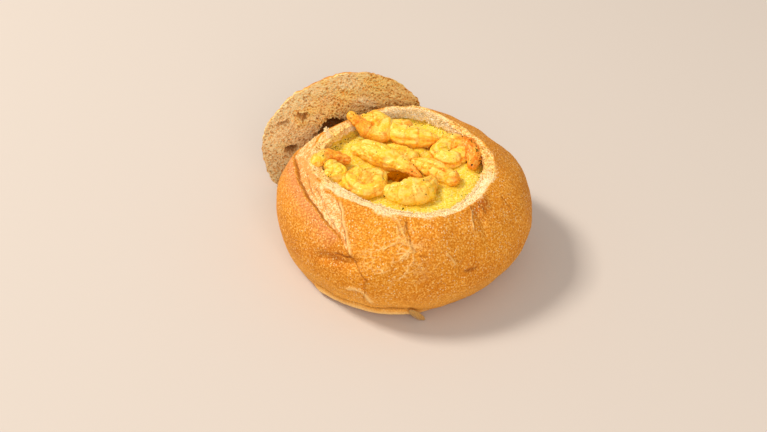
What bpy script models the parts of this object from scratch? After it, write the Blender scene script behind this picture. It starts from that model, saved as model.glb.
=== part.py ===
"""Shrimp curry in a hollowed round loaf, with the loaf's cut-off top leaning on its back.

Metres, +Z up. The origin is the middle of the loaf's flat base, which stands on Z = 0, and +X and -Y
are the right and the front of the loaf. Bearings are degrees from +X, anticlockwise seen from above.
"""

import math

import bmesh
import bpy
import numpy as np
from mathutils import Matrix, Vector

MM = 0.001
GAP = 0.3 * MM  # between neighbours that touch
ROOM_GROWTH = 0.4 * MM  # of a faceted body, so that its gap stays open

# The loaf, from its base edge up over the belly to the cut rim
BASE_RADIUS = 57.8 * MM
BELLY_RADIUS = 75.0 * MM
BELLY_HEIGHT = 27.8 * MM
RIM_RADIUS = 52.6 * MM
RIM_HEIGHT = 61.6 * MM
RIM_SLOPE = (-0.013, 0.036)
SHOULDER_POWER = 2.45
BELLY_SHARE = 0.36  # of the way up the crust, from base edge to rim
# Lobes are (how many round the loaf, size as a share, bearing of the first crest)
BASE_LOBES = ((1, 0.110, 163),)
BELLY_LOBES = ((2, 0.013, 56), (3, 0.013, 46), (4, 0.019, -13))
BELLY_HEIGHT_LOBES = ((1, 0.042, 135),)
RIM_LOBES = ((1, 0.037, 180), (2, 0.042, -50), (3, 0.023, -41), (4, 0.020, 2), (5, 0.014, 10))
RIM_HEIGHT_LOBES = ((2, 0.019, 47),)

# The hollow and the torn crumb round it
CRUMB_WIDTH = 5.2 * MM
CRUMB_LOBES = ((1, 0.25, -100), (2, 0.28, -10))
CRUMB_DROP = 1.2 * MM  # of the torn inner edge, under the crust's edge
CRUMB_LEAN = 0.9 * MM  # how far the wall leans out below that edge
RAGGED = 0.6 * MM
HOLLOW_ROWS = ((40.0 * MM, 1.5 * MM), (24.0 * MM, -3.0 * MM), (15.5 * MM, -14.0 * MM))  # height, outward
FLOOR_HEIGHT = 14.0 * MM
CURRY_LEVEL = 54.5 * MM
CURRY_GAP = 0.6 * MM  # to the torn wall, whose facets differ from the curry's
CURRY_WAVE = 0.9 * MM
CURRY_RINGS = (0.9, 0.62, 0.32)  # shares of the curry's radius

COLUMNS = 96
CROWDING = (0.38, -145)  # how much closer the columns stand at this bearing, where the crust is torn
CRUST_ROWS = 21
CURRY_COLUMNS = 48

# Main crack: the left lobe rolls over the pale torn crust, and lower down the front lobe rolls back.
# Points are (bearing, height in mm, how far the lower side stands over the upper side).
CRACK = (
    (163, 52, 0.3),
    (180, 56.3, 0.9),
    (-162, 56.3, 1.0),
    (-140, 53.3, 1.0),
    (-124, 49.5, 0.5),
    (-114, 42, -0.7),
    (-107, 33, -0.9),
    (-108, 20, -0.4),
)
CRACK_LIP = 1.2 * MM
CRACK_DROP = 1.5 * MM
CRACK_EDGE = 0.3 * MM  # either side of the line that belongs to the higher side
CRACK_PULL = 2.6 * MM
LIP_REACH = 11.0 * MM
DROP_REACH = 8.0 * MM
# Creases: ((bearing, height in mm), ...), depth and half width in mm
CREASES = (
    (((-130, 35), (-120, 37.5), (-112, 40)), 2.2, 3.2),
    (((-90, 59), (-88, 52.5), (-86, 48)), 0.7, 2.4),
    (((-47, 57), (-49, 49), (-50, 42)), 1.0, 2.4),
    (((-62, 40), (-66, 36), (-67, 29)), 1.2, 2.6),
    (((-122, 13), (-105, 11.5), (-88, 10.5)), 1.3, 2.2),
    (((35, 50), (52, 38), (60, 24)), 1.6, 4.0),
    (((80, 56), (96, 42), (99, 22)), 1.8, 4.5),
    (((150, 48), (136, 34), (140, 18)), 1.6, 4.0),
)
# Swellings: bearing, height, rise and half width in mm
SWELLS = (
    (-160, 44, 1.2, 16),
    (-100, 42, 1.0, 12),
    (-73, 52, 1.0, 9),
    (-40, 58, 1.4, 4.5),
    (-20, 44, 0.8, 16),
    (20, 40, 1.2, 15),
    (75, 44, 1.4, 14),
    (120, 40, 1.2, 15),
)
WRINKLE = 0.5 * MM

# The cut-off top, which stands on its flattened lower side and leans on the loaf
LID_CENTRE = (-37.4 * MM, 67.9 * MM, 31.0 * MM)
LID_TURN = 14.2  # degrees of its cut face about +Z
LID_LEAN = 9.0  # degrees forward of upright
LID_RADIUS = 53.0 * MM
LID_DEPTH = 21.0 * MM
LID_LOBES = ((2, 0.008, 20), (3, 0.010, 75), (5, 0.008, 10), (9, 0.006, 8), (14, 0.005, 3))
LID_COLUMNS = 56
LID_DOME_RINGS = (0.985, 0.95, 0.88, 0.78, 0.65, 0.49, 0.32, 0.15)
LID_DOME_POWERS = (2.6, 0.72)
LID_FACE_RINGS = (0.95, 0.8, 0.6, 0.4, 0.2)
# Holes in the crumb: (right, up, half width, half height, depth, turn in degrees) on the face, in mm
LID_HOLES = (
    (-9, 9, 11, 8.5, 9, 22),
    (-27, 24.5, 4.4, 2.8, 4, -35),
    (-39.5, 20.5, 4.6, 1.8, 3, 15),
    (-34.8, -1.7, 4.4, 3.0, 6, -35),
    (18.7, 22.3, 3.4, 1.8, 2.5, -10),
)

# Shrimps, each as stations (x, y, z, thickness) in millimetres from the head to the tail
SHRIMPS = (
    (
        (-22.5, 41, 62, 10.5), (-16, 40, 62, 13), (-12.5, 34.5, 60.5, 12.5), (-14.5, 29.5, 58.5, 10.5),
        (-22, 31, 61, 8.5), (-32, 38.5, 67, 6),
    ),
    (
        (19, 27, 57, 6), (13, 26.5, 58, 11.5), (4.5, 27.5, 58.5, 14), (-3, 30, 59, 13.5),
        (-6, 35.5, 60, 11), (1, 37, 61, 8),
    ),
    (
        (32, 11, 56, 12), (25.5, 6, 56.5, 12), (20.5, 13, 57, 12), (27, 21, 58, 12),
        (36, 18.5, 58, 12), (40, 8, 57.5, 9), (38.5, 0, 57, 6),
    ),
    (
        (-28, 17.5, 56.5, 9), (-21.5, 14, 58, 13.5), (-11.5, 5.5, 58.5, 14), (-1, -2.5, 58, 9.5),
        (7.5, -10, 56.5, 4.5),
    ),
    ((-8, 20, 54, 9), (-2, 15, 55, 10), (4, 12, 54.5, 9)),
    ((5.5, 3, 58, 5), (11, -1.5, 58, 10), (19.5, -7.5, 57, 12.5), (26.5, -12.5, 56.5, 9)),
    (
        (-10.5, -24.5, 56, 9), (-4.5, -26.5, 56, 14), (2.5, -27.5, 56.5, 18.5), (9.5, -24.5, 57, 16.5),
        (14.5, -18, 58.5, 8),
    ),
    (
        (-28, -10.5, 58, 10), (-31, -18, 57, 11.5), (-24, -25.5, 56.5, 10.5), (-16, -22, 57, 10),
        (-16, -13, 57.5, 9.5), (-22, -11, 57.5, 9), (-23, -17, 57.5, 10),
    ),
    ((-45.5, -12, 56, 10), (-39.5, -10, 57.5, 13), (-42.5, -6.5, 61, 9)),
    ((-50.5, -3, 62, 9), (-44.5, 2.5, 61.5, 9.5), (-34.5, 2.5, 59.5, 6)),
    ((-11.5, -8.5, 52.5, 9), (-5, -8, 53, 10), (2, -9, 52.5, 9)),
)
SHRIMP_SIDES = 12
SHRIMP_RINGS = 40
SHRIMP_FACES = 280  # of each finished shrimp
SKIN_CELL = 0.9 * MM
SEGMENTS = 6
SEGMENT_STEP = 0.08

# The scrap of onion that stands against the loaf's foot
SCRAP_PLACE = (6.0 * MM, -71.8 * MM)
SCRAP_SIZE = (2.6 * MM, 0.8 * MM, 7.2 * MM)  # half width, half thickness, half height
SCRAP_LEAN = 20.0  # degrees, its top away from the loaf
SCRAP_TURN = -36.0  # degrees, its top to the left

NOISE_PRIMES = (73856093, 19349663, 83492791)


def lobed(theta, lobes):
    """How a radius or height varies round the loaf, about 1."""
    share = np.ones_like(theta)
    for count, size, bearing in lobes:
        share = share + size * np.cos(count * (theta - math.radians(bearing)))
    return share


def noise(points, size, seed):
    """Smooth noise from -1 to 1, with cells of the given size."""
    grid = np.asarray(points) / size
    cell = np.floor(grid)
    part = grid - cell
    part = part * part * (3 - 2 * part)
    cell = cell.astype(np.int64)
    total = np.zeros(grid.shape[:-1])
    for corner in np.ndindex(2, 2, 2):
        key = np.full(total.shape, seed * 7919, np.int64)
        weight = np.ones(total.shape)
        for axis, step in enumerate(corner):
            key = key ^ ((cell[..., axis] + step) * NOISE_PRIMES[axis])
            weight = weight * (part[..., axis] if step else 1 - part[..., axis])
        key = (key ^ (key >> 13)) & 0xFFFFFF
        key = (key * (key * 15731 + 789221) + 1376312589) & 0x7FFFFFFF
        total = total + weight * (key / 0x3FFFFFFF - 1)
    return total


def columns(count):
    """Bearings of the loaf's columns in radians, closest where the crust is torn."""
    even = np.arange(count) * 2 * math.pi / count
    share, bearing = CROWDING
    return even - share * np.sin(even - math.radians(bearing))


def rim_radius(theta):
    return RIM_RADIUS * lobed(theta, RIM_LOBES)


def rim_height(theta):
    radius = rim_radius(theta)
    tilt = radius * (RIM_SLOPE[0] * np.cos(theta) + RIM_SLOPE[1] * np.sin(theta))
    return RIM_HEIGHT * lobed(theta, RIM_HEIGHT_LOBES) + tilt


def bare_crust(theta, climb):
    """Points of the crust without its relief; climb runs from 0 at the base edge to 1 at the rim."""
    base = BASE_RADIUS * lobed(theta, BASE_LOBES)
    belly = BELLY_RADIUS * lobed(theta, BELLY_LOBES)
    belly_height = BELLY_HEIGHT * lobed(theta, BELLY_HEIGHT_LOBES)
    low = np.clip(climb / BELLY_SHARE, 0, 1) * math.pi / 2
    high = np.clip((climb - BELLY_SHARE) / (1 - BELLY_SHARE), 0, 1)
    radius = base + (belly - base) * np.sin(low) - (belly - rim_radius(theta)) * high**SHOULDER_POWER
    height = belly_height * (1 - np.cos(low)) + (rim_height(theta) - belly_height) * high
    return np.stack([radius * np.cos(theta), radius * np.sin(theta), height], -1)


def on_crust(bearing, height):
    """The bare crust's point at a bearing in degrees and a height in metres."""
    climbs = np.linspace(0, 1, 200)
    points = bare_crust(np.full(200, math.radians(bearing)), climbs)
    return points[np.abs(points[:, 2] - height).argmin()]


def path_on_crust(stations, steps=16):
    """A smooth line over the crust through (bearing, height in mm) stations, with its tangents."""
    marks = np.arange(len(stations))
    fine = np.linspace(0, len(stations) - 1, steps * (len(stations) - 1) + 1)
    bearings = np.unwrap(np.radians([s[0] for s in stations]))
    bearings = np.degrees(np.interp(fine, marks, bearings))
    heights = np.interp(fine, marks, [s[1] for s in stations])
    points = np.array([on_crust(b, h * MM) for b, h in zip(bearings, heights)])
    return fine, points, np.gradient(points, axis=0)


def nearest(points, line):
    """Index of the nearest point of a line, and the distance to it."""
    gaps = np.linalg.norm(points[:, None] - line[None], axis=2)
    index = gaps.argmin(axis=1)
    return index, gaps[np.arange(len(points)), index]


def draw_to_crack(grid):
    """Moves the vertex of each row and column that lies nearest the crack onto it, for a clean edge."""
    _, line, tangents = path_on_crust(CRACK)
    tangents = tangents / np.linalg.norm(tangents, axis=1, keepdims=True)
    index, away = (a.reshape(grid.shape[:2]) for a in nearest(grid.reshape(-1, 3), line))
    pairs = {(row, away[row].argmin()) for row in range(2, len(grid) - 2)}
    pairs |= {(away[:, column].argmin(), column) for column in range(grid.shape[1])}
    for row, column in pairs:
        if away[row, column] < CRACK_PULL and 1 < row < len(grid) - 2:
            start, along = line[index[row, column]], tangents[index[row, column]]
            grid[row, column] = start + along * np.dot(grid[row, column] - start, along)


def crust_relief(points, normals):
    """Metres that the crust stands out of its bare form."""
    marks, line, tangents = path_on_crust(CRACK)
    index, away = nearest(points, line)
    tangents = tangents / np.linalg.norm(tangents, axis=1, keepdims=True)
    below = ((points - line[index]) * np.cross(tangents[index], normals)).sum(axis=1)
    over = np.interp(marks, range(len(CRACK)), [s[2] for s in CRACK])[index]
    high = np.where(over > 0, below > -CRACK_EDGE, below < CRACK_EDGE)
    lip = CRACK_LIP * np.exp(-away / LIP_REACH)
    drop = -CRACK_DROP * np.exp(-away / DROP_REACH)
    relief = np.abs(over) * np.where(high, lip, drop)
    for stations, depth, half_width in CREASES:
        away = nearest(points, path_on_crust(stations)[1])[1]
        relief -= depth * MM * np.exp(-((away / (half_width * MM)) ** 2))
    for bearing, height, rise, half_width in SWELLS:
        away = np.linalg.norm(points - on_crust(bearing, height * MM), axis=1)
        relief += rise * MM * np.exp(-((away / (half_width * MM)) ** 2))
    return relief + WRINKLE * noise(points, 9 * MM, 3)


def grid_normals(grid):
    """Normals of a grid of points whose columns close round."""
    around = np.roll(grid, -1, axis=1) - np.roll(grid, 1, axis=1)
    up = np.gradient(grid, axis=0)
    normals = np.cross(around, up)
    return normals / np.linalg.norm(normals, axis=2, keepdims=True)


def crumb_edge(theta):
    """Radius of the hollow's torn edge."""
    return rim_radius(theta) - CRUMB_WIDTH * lobed(theta, CRUMB_LOBES)


def hollow_rows(theta):
    """Rows of the hollow's wall from the curry's level down: (radii, heights)."""
    ragged = RAGGED * noise(ring(theta, RIM_RADIUS, 0.0), 7 * MM, 8)
    rows = [(crumb_edge(theta) + CRUMB_LEAN + ragged, np.full_like(theta, CURRY_LEVEL))]
    for height, outward in HOLLOW_ROWS:
        rows.append((crumb_edge(theta) + outward, np.full_like(theta, height)))
    return rows


def ring(theta, radius, height):
    return np.stack([radius * np.cos(theta), radius * np.sin(theta), height + 0 * theta], -1)


def make_object(name, vertices, faces, material):
    mesh = bpy.data.meshes.new(name)
    mesh.from_pydata([tuple(v) for v in vertices], [], faces)
    bm = bmesh.new()
    bm.from_mesh(mesh)
    bmesh.ops.triangulate(bm, faces=bm.faces)
    bmesh.ops.recalc_face_normals(bm, faces=bm.faces)
    bm.to_mesh(mesh)
    bm.free()
    mesh.materials.append(material)
    mesh.shade_smooth()
    made = bpy.data.objects.new(name, mesh)
    bpy.context.collection.objects.link(made)
    return made


def closed_rings(rings, first, last):
    """A closed body through rings of equal length, from one centre point to another."""
    count = len(rings[0])
    vertices = [first, *(p for r in rings for p in r), last]
    end = len(vertices) - 1
    faces = []
    for j in range(count):
        k = (j + 1) % count
        faces.append((0, 1 + k, 1 + j))
        faces.append((end, end - count + j, end - count + k))
        for i in range(len(rings) - 1):
            low = 1 + i * count
            high = low + count
            faces.append((low + j, low + k, high + k, high + j))
    return vertices, faces


def material(name, color, roughness):
    made = bpy.data.materials.new(name)
    made.use_nodes = True
    shader = made.node_tree.nodes["Principled BSDF"]
    shader.inputs["Base Color"].default_value = (*color, 1)
    shader.inputs["Roughness"].default_value = roughness
    shader.inputs["Metallic"].default_value = 0
    return made


def cut(target, cutter):
    """Takes a hidden helper's space out of the target."""
    modifier = target.modifiers.new(cutter.name, "BOOLEAN")
    modifier.operation = "DIFFERENCE"
    modifier.solver = "EXACT"
    modifier.object = cutter


def make_bowl(crust):
    theta = columns(COLUMNS)
    climbs = np.linspace(0, 1, CRUST_ROWS)[:, None]
    climbs = climbs + 0.11 * np.sin(math.pi * climbs)
    grid = bare_crust(theta[None] + 0 * climbs, climbs + 0 * theta[None])
    draw_to_crack(grid)
    normals = grid_normals(grid)
    relief = crust_relief(grid.reshape(-1, 3), normals.reshape(-1, 3)).reshape(grid.shape[:2])
    settle = np.clip(climbs / 0.12, 0, 1)  # the relief dies out at the flat base
    grid = grid + normals * (relief * settle)[..., None]
    grid[0, :, 2] = 0
    rings = list(grid)
    torn = crumb_edge(theta)
    rings.append(ring(theta, torn, grid[-1, :, 2] - CRUMB_DROP + 0.5 * MM * noise(grid[-1], 5 * MM, 5)))
    rings += [ring(theta, radius, height) for radius, height in hollow_rows(theta)]
    vertices, faces = closed_rings(rings, (0, 0, 0), (0, 0, FLOOR_HEIGHT))
    return make_object("bread_bowl", vertices, faces, crust)


def make_curry(sauce, rooms):
    theta = columns(CURRY_COLUMNS)
    wall = [(radius - CURRY_GAP, height + GAP) for radius, height in reversed(hollow_rows(theta))]
    rings = [ring(theta, radius, height) for radius, height in wall]
    edge = wall[-1][0]
    for share in CURRY_RINGS:
        level = ring(theta, edge * share, wall[-1][1])
        level[:, 2] += CURRY_WAVE * noise(level, 9 * MM, 11)
        rings.append(level)
    vertices, faces = closed_rings(rings, (0, 0, FLOOR_HEIGHT + 2 * GAP), (0, 0, CURRY_LEVEL))
    curry = make_object("curry", vertices, faces, sauce)
    for room in rooms:
        cut(curry, room)
    return curry


def smooth_through(stations, count):
    """Rows of a smooth curve through the stations, evenly spread between its ends."""
    points = np.array(stations, float)
    points = np.vstack([2 * points[0] - points[1], points, 2 * points[-1] - points[-2]])
    spans = np.minimum(np.linspace(0, len(stations) - 1, 12 * count), len(stations) - 1 - 1e-6)
    first = spans.astype(int)
    t = (spans - first)[:, None]
    a, b, c, d = (points[first + k] for k in range(4))
    curve = b + 0.5 * t * (c - a + t * (2 * a - 5 * b + 4 * c - d + t * (3 * (b - c) + d - a)))
    steps = np.linalg.norm(np.diff(curve[:, :3], axis=0), axis=1)
    run = np.concatenate([[0], np.cumsum(steps)])
    even = np.linspace(0, run[-1], count)
    return even, np.stack([np.interp(even, run, column) for column in curve.T], -1)


def make_shrimp(name, stations, flesh):
    """A curled body with blunt ends and stepped segments, its overlapping turns grown together."""
    ends = [np.array(stations[k], float) for k in (0, 1, -2, -1)]
    head = ends[0] + (ends[0] - ends[1]) * (ends[0][3] / 2 / np.linalg.norm((ends[0] - ends[1])[:3]))
    tail = ends[3] + (ends[3] - ends[2]) * (ends[3][3] / 2 / np.linalg.norm((ends[3] - ends[2])[:3]))
    head[3], tail[3] = ends[0][3], ends[3][3]
    run, rows = smooth_through((head, *stations, tail), SHRIMP_RINGS + 2)
    thickness = rows[:, 3]
    to_end = np.minimum(run, run[-1] - run) / (thickness / 2)
    blunt = np.sqrt(1 - (1 - np.clip(to_end, 0, 1)) ** 2)
    step = 1 + SEGMENT_STEP * (0.5 - (run / run[-1] * SEGMENTS) % 1)
    radius = thickness / 2 * blunt * step
    along = np.gradient(rows[:, :3], axis=0)
    along /= np.linalg.norm(along, axis=1, keepdims=True)
    side = np.cross(along, (0, 0, 1))
    side /= np.linalg.norm(side, axis=1, keepdims=True)
    top = np.cross(side, along)
    spin = np.arange(SHRIMP_SIDES) * 2 * math.pi / SHRIMP_SIDES
    rings = []
    for i in range(1, SHRIMP_RINGS + 1):
        outward = np.cos(spin)[:, None] * side[i] + np.sin(spin)[:, None] * top[i]
        rings.append((rows[i, :3] + radius[i] * outward) * MM)
    vertices, faces = closed_rings(rings, rows[0, :3] * MM, rows[-1, :3] * MM)
    shrimp = make_object(name, vertices, faces, flesh)
    skin = shrimp.modifiers.new("skin", "REMESH")
    skin.mode = "VOXEL"
    skin.voxel_size = SKIN_CELL
    settle(shrimp)
    fewer = shrimp.modifiers.new("fewer", "DECIMATE")
    fewer.ratio = SHRIMP_FACES / sum(len(p.vertices) - 2 for p in shrimp.data.polygons)
    settle(shrimp)
    return shrimp


def settle(body):
    """Bakes a body's modifiers into its mesh."""
    depsgraph = bpy.context.evaluated_depsgraph_get()
    body.data = bpy.data.meshes.new_from_object(body.evaluated_get(depsgraph))
    body.modifiers.clear()


def make_room(name, body):
    """A hidden copy of a body, grown by the gap, that cuts its room out of others."""
    room = bpy.data.objects.new(name, body.data.copy())
    room.hide_render = True
    room.display_type = "WIRE"
    bpy.context.collection.objects.link(room)
    for vertex in room.data.vertices:
        vertex.co += vertex.normal * ROOM_GROWTH
    return room


def make_lid(crumb):
    theta = np.arange(LID_COLUMNS) * 2 * math.pi / LID_COLUMNS
    outline = LID_RADIUS * lobed(theta, LID_LOBES)
    rings = []
    for share in reversed(LID_FACE_RINGS):
        rings.append(ring(theta, outline * share, 0.0))
    rings.append(ring(theta, outline, 0.0))
    flat, steep = LID_DOME_POWERS
    for share in LID_DOME_RINGS:
        rings.append(ring(theta, outline * share, -LID_DEPTH * (1 - share**flat) ** steep))
    rings = [r + [0, 0, 1] * (0.7 * MM * noise(r, 11 * MM, 21))[:, None] for r in rings]
    vertices, faces = closed_rings(rings, (0, 0, 0), (0, 0, -LID_DEPTH))
    lid = make_object("bread_lid", vertices, faces, crumb)
    stand = (
        Matrix.Translation(LID_CENTRE)
        @ Matrix.Rotation(math.radians(LID_TURN), 4, "Z")
        @ Matrix.Rotation(math.radians(90 + LID_LEAN), 4, "X")
    )
    lid.data.transform(stand)
    stand_on_floor(lid)
    for number, (right, up, half_width, half_height, depth, turn) in enumerate(LID_HOLES):
        hole = make_ball(f"hole_{number + 1}", (half_width * MM, half_height * MM, depth * MM), crumb)
        hole.data.transform(Matrix.Rotation(math.radians(turn), 4, "Z"))
        hole.data.transform(stand @ Matrix.Translation((right * MM, up * MM, 0)))
        hole.hide_render = True
        hole.display_type = "WIRE"
        cut(lid, hole)
    return lid


def stand_on_floor(body):
    """Cuts a body flat at the floor."""
    bm = bmesh.new()
    bm.from_mesh(body.data)
    geometry = bm.verts[:] + bm.edges[:] + bm.faces[:]
    bmesh.ops.bisect_plane(bm, geom=geometry, plane_co=(0, 0, 0), plane_no=(0, 0, 1), clear_inner=True)
    bmesh.ops.holes_fill(bm, edges=[e for e in bm.edges if e.is_boundary])
    bmesh.ops.triangulate(bm, faces=bm.faces)
    bmesh.ops.recalc_face_normals(bm, faces=bm.faces)
    bm.to_mesh(body.data)
    bm.free()


def make_ball(name, half_sizes, skin):
    """A lumpy ball."""
    mesh = bpy.data.meshes.new(name)
    bm = bmesh.new()
    bmesh.ops.create_icosphere(bm, subdivisions=2, radius=1)
    for vertex in bm.verts:
        lump = 1 + 0.12 * float(noise(np.array(vertex.co), 0.9, 31))
        vertex.co = Vector([c * half * lump for c, half in zip(vertex.co, half_sizes)])
    bm.to_mesh(mesh)
    bm.free()
    mesh.materials.append(skin)
    mesh.shade_smooth()
    ball = bpy.data.objects.new(name, mesh)
    bpy.context.collection.objects.link(ball)
    return ball


def make_scrap(onion):
    scrap = make_ball("onion_scrap", SCRAP_SIZE, onion)
    lean = Matrix.Rotation(math.radians(SCRAP_LEAN), 4, "X")
    scrap.data.transform(lean @ Matrix.Rotation(math.radians(SCRAP_TURN), 4, "Y"))
    lowest = min(v.co.z for v in scrap.data.vertices)
    scrap.data.transform(Matrix.Translation((*SCRAP_PLACE, -lowest)))
    return scrap


def main():
    for leftover in list(bpy.data.objects):
        bpy.data.objects.remove(leftover)
    crust = material("crust", (0.66, 0.31, 0.08), 0.62)
    crumb = material("crumb", (0.72, 0.47, 0.20), 0.85)
    sauce = material("curry_sauce", (0.80, 0.46, 0.02), 0.38)
    flesh = material("shrimp_flesh", (0.84, 0.50, 0.12), 0.36)
    onion = material("onion", (0.72, 0.46, 0.16), 0.35)
    bowl = make_bowl(crust)
    make_lid(crumb)
    rooms = [make_room("room_bowl", bowl)]
    for number, stations in enumerate(SHRIMPS):
        shrimp = make_shrimp(f"shrimp_{number + 1:02}", stations, flesh)
        room = make_room(f"room_{number + 1:02}", shrimp)
        for other in rooms:
            cut(shrimp, other)
        rooms.append(room)
    make_curry(sauce, rooms[1:])
    make_scrap(onion)


main()
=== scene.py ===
"""Looks of a shrimp curry in a bread bowl: crust, torn crumb, sauce, shrimps, pepper and herbs.

The forms are those of the solids, drawn finely from the same named sizes. Metres, +Z up; bearings are
degrees from +X, anticlockwise seen from above. Colours are written as sRGB bytes.
"""

import math

import bmesh
import bpy
import numpy as np
from mathutils import Matrix, Vector
from mathutils.bvhtree import BVHTree


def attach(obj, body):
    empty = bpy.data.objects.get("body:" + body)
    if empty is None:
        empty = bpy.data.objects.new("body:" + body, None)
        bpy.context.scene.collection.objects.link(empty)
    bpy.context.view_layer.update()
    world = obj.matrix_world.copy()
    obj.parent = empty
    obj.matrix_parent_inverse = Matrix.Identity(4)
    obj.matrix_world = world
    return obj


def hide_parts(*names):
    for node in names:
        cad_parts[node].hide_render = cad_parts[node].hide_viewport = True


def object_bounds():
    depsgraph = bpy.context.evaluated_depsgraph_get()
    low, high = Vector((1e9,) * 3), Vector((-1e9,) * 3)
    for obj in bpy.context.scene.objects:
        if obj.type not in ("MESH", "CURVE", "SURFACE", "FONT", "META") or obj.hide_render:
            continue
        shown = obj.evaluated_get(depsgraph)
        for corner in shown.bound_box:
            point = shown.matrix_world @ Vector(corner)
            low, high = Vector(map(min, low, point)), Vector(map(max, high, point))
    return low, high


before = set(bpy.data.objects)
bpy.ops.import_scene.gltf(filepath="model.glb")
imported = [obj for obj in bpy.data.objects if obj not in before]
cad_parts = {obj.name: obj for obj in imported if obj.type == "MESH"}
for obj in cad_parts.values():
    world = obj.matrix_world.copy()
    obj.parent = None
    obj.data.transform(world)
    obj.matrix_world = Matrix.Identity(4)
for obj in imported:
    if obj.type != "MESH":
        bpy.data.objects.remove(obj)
cad_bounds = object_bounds()

MM = 0.001

# The loaf
BASE_RADIUS = 57.8 * MM
BELLY_RADIUS = 75.0 * MM
BELLY_HEIGHT = 27.8 * MM
RIM_RADIUS = 52.6 * MM
RIM_HEIGHT = 61.6 * MM
RIM_SLOPE = (-0.013, 0.036)
SHOULDER_POWER = 2.45
BELLY_SHARE = 0.36
# Lobes are (how many round the loaf, size as a share, bearing of the first crest)
BASE_LOBES = ((1, 0.110, 163),)
BELLY_LOBES = ((2, 0.013, 56), (3, 0.013, 46), (4, 0.019, -13))
BELLY_HEIGHT_LOBES = ((1, 0.042, 135),)
RIM_LOBES = ((1, 0.037, 180), (2, 0.042, -50), (3, 0.023, -41), (4, 0.020, 2), (5, 0.014, 10))
RIM_HEIGHT_LOBES = ((2, 0.019, 47),)
CROWDING = (0.5, -120)

# The hollow, its torn crumb and the curry
CRUMB_WIDTH = 5.2 * MM
CRUMB_LOBES = ((1, 0.25, -100), (2, 0.28, -10))
CRUMB_DROP = 1.2 * MM
CRUMB_LEAN = 0.9 * MM
EDGE_REACH = 0.7 * MM
PORE = 1.7 * MM
HOLLOW_ROWS = ((40.0 * MM, 1.5 * MM), (24.0 * MM, -3.0 * MM), (15.5 * MM, -14.0 * MM))
FLOOR_HEIGHT = 14.0 * MM
CURRY_LEVEL = 54.5 * MM
CURRY_WAVE = 0.9 * MM
# Where the sauce stands up against things: x, y, rise and half width in mm
MOUNDS = (
    (-30, 22, 2.6, 7), (-36, 8, 2.0, 6), (-14, 16, 2.2, 6), (-38, -17, 1.6, 6), (10, 17, 2.0, 6),
    (28, 30, 1.6, 7), (-8, -33, 0.8, 8), (22, -24, 1.8, 7), (-13, -16, 1.4, 5), (33, 2, 1.0, 6),
)
# Away from the light, where the sauce is darker beside a shrimp, and how far from one that is looked for
LEE_WAY = (0.6, -0.8)
SHRIMP_NEAR = 5 * MM
# Where the sauce is painted dark orange-brown as shade in the gaps between shrimps: x, y and half width in
# mm
SHADED_GAPS = ((-6, -9, 5), (0, -12, 5), (6, -13, 4), (-15, 21, 2.5), (13, 20, 3))

# Relief of the crust: (bearing, height in mm, how far the lower side stands over the upper side)
CRACK = (
    (163, 52, 0.3), (180, 56.3, 0.9), (-162, 56.3, 1.0), (-140, 53.3, 1.0), (-124, 49.5, 0.5),
    (-114, 42, -0.7), (-107, 33, -0.9), (-108, 20, -0.4),
)
CRACK_LIP = 1.2 * MM
CRACK_DROP = 1.5 * MM
LIP_REACH = 11.0 * MM
DROP_REACH = 8.0 * MM
CREASES = (
    (((-130, 35), (-120, 37.5), (-112, 40)), 2.2, 3.2),
    (((-90, 59), (-88, 52.5), (-86, 48)), 0.7, 2.4),
    (((-47, 57), (-49, 49), (-50, 42)), 1.0, 2.4),
    (((-62, 40), (-66, 36), (-67, 29)), 1.2, 2.6),
    (((-122, 13), (-105, 11.5), (-88, 10.5)), 1.3, 2.2),
    (((35, 50), (52, 38), (60, 24)), 1.6, 4.0),
    (((80, 56), (96, 42), (99, 22)), 1.8, 4.5),
    (((150, 48), (136, 34), (140, 18)), 1.6, 4.0),
)
SWELLS = (
    (-160, 44, 1.2, 16), (-100, 42, 1.0, 12), (-73, 52, 1.0, 9), (-40, 58, 1.4, 4.5), (-20, 44, 0.8, 16),
    (20, 40, 1.2, 15), (75, 44, 1.4, 14), (120, 40, 1.2, 15),
)
# The pale torn crust between the crack and the rim ends at this line
BLOOM_EDGE = ((-176, 62), (-150, 61.5), (-138, 61), (-130, 58.5), (-122, 52.5), (-117, 46.5), (-115, 42))
# Sharp cracks, painted dark as shade, and raised skin folds: stations, depth or rise and half width in mm
FINE_CRACKS = (
    (((-89.2, 56.5), (-89, 54.5), (-88.2, 51), (-85.6, 47.2)), 0.7, 0.35),
    (((-85.2, 46.4), (-83, 45.6), (-80.5, 44.8)), 0.6, 0.35),
    (((-90.2, 59), (-90, 57), (-89.4, 55.5)), 0.6, 0.8),
    (((-97, 58.5), (-94.5, 56), (-92.4, 53.5)), 0.35, 0.4),
    (((-47.5, 60), (-51.5, 55.8), (-54, 51.6)), 1.0, 0.5),
    (((-44, 58), (-42.5, 55.5), (-43, 53)), 0.6, 0.5),
    (((-25.5, 54.5), (-26.5, 52), (-27.4, 47.5)), 0.8, 0.4),
    (((-124, 41), (-118.5, 41.3), (-113.5, 42)), 1.0, 0.5),
    (((-140, 8.5), (-124, 7.5), (-108, 8.8), (-94, 9.5), (-80, 8.5)), 1.2, 0.8),
    (((-71.5, 46), (-69, 43), (-67, 39)), 0.6, 0.4),
    (((-65, 33.5), (-62, 32), (-57, 31.8)), 0.7, 1.1),
    (((-136, 61), (-129, 57.5), (-122, 51.5), (-117.5, 46)), 0.9, 0.4),
    (((-158, 60), (-146, 58.5), (-134, 54.5), (-125, 50.5)), 0.9, 0.4),
    (((-172, 60.5), (-160, 58.6), (-150, 57)), 0.8, 0.4),
)
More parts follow.
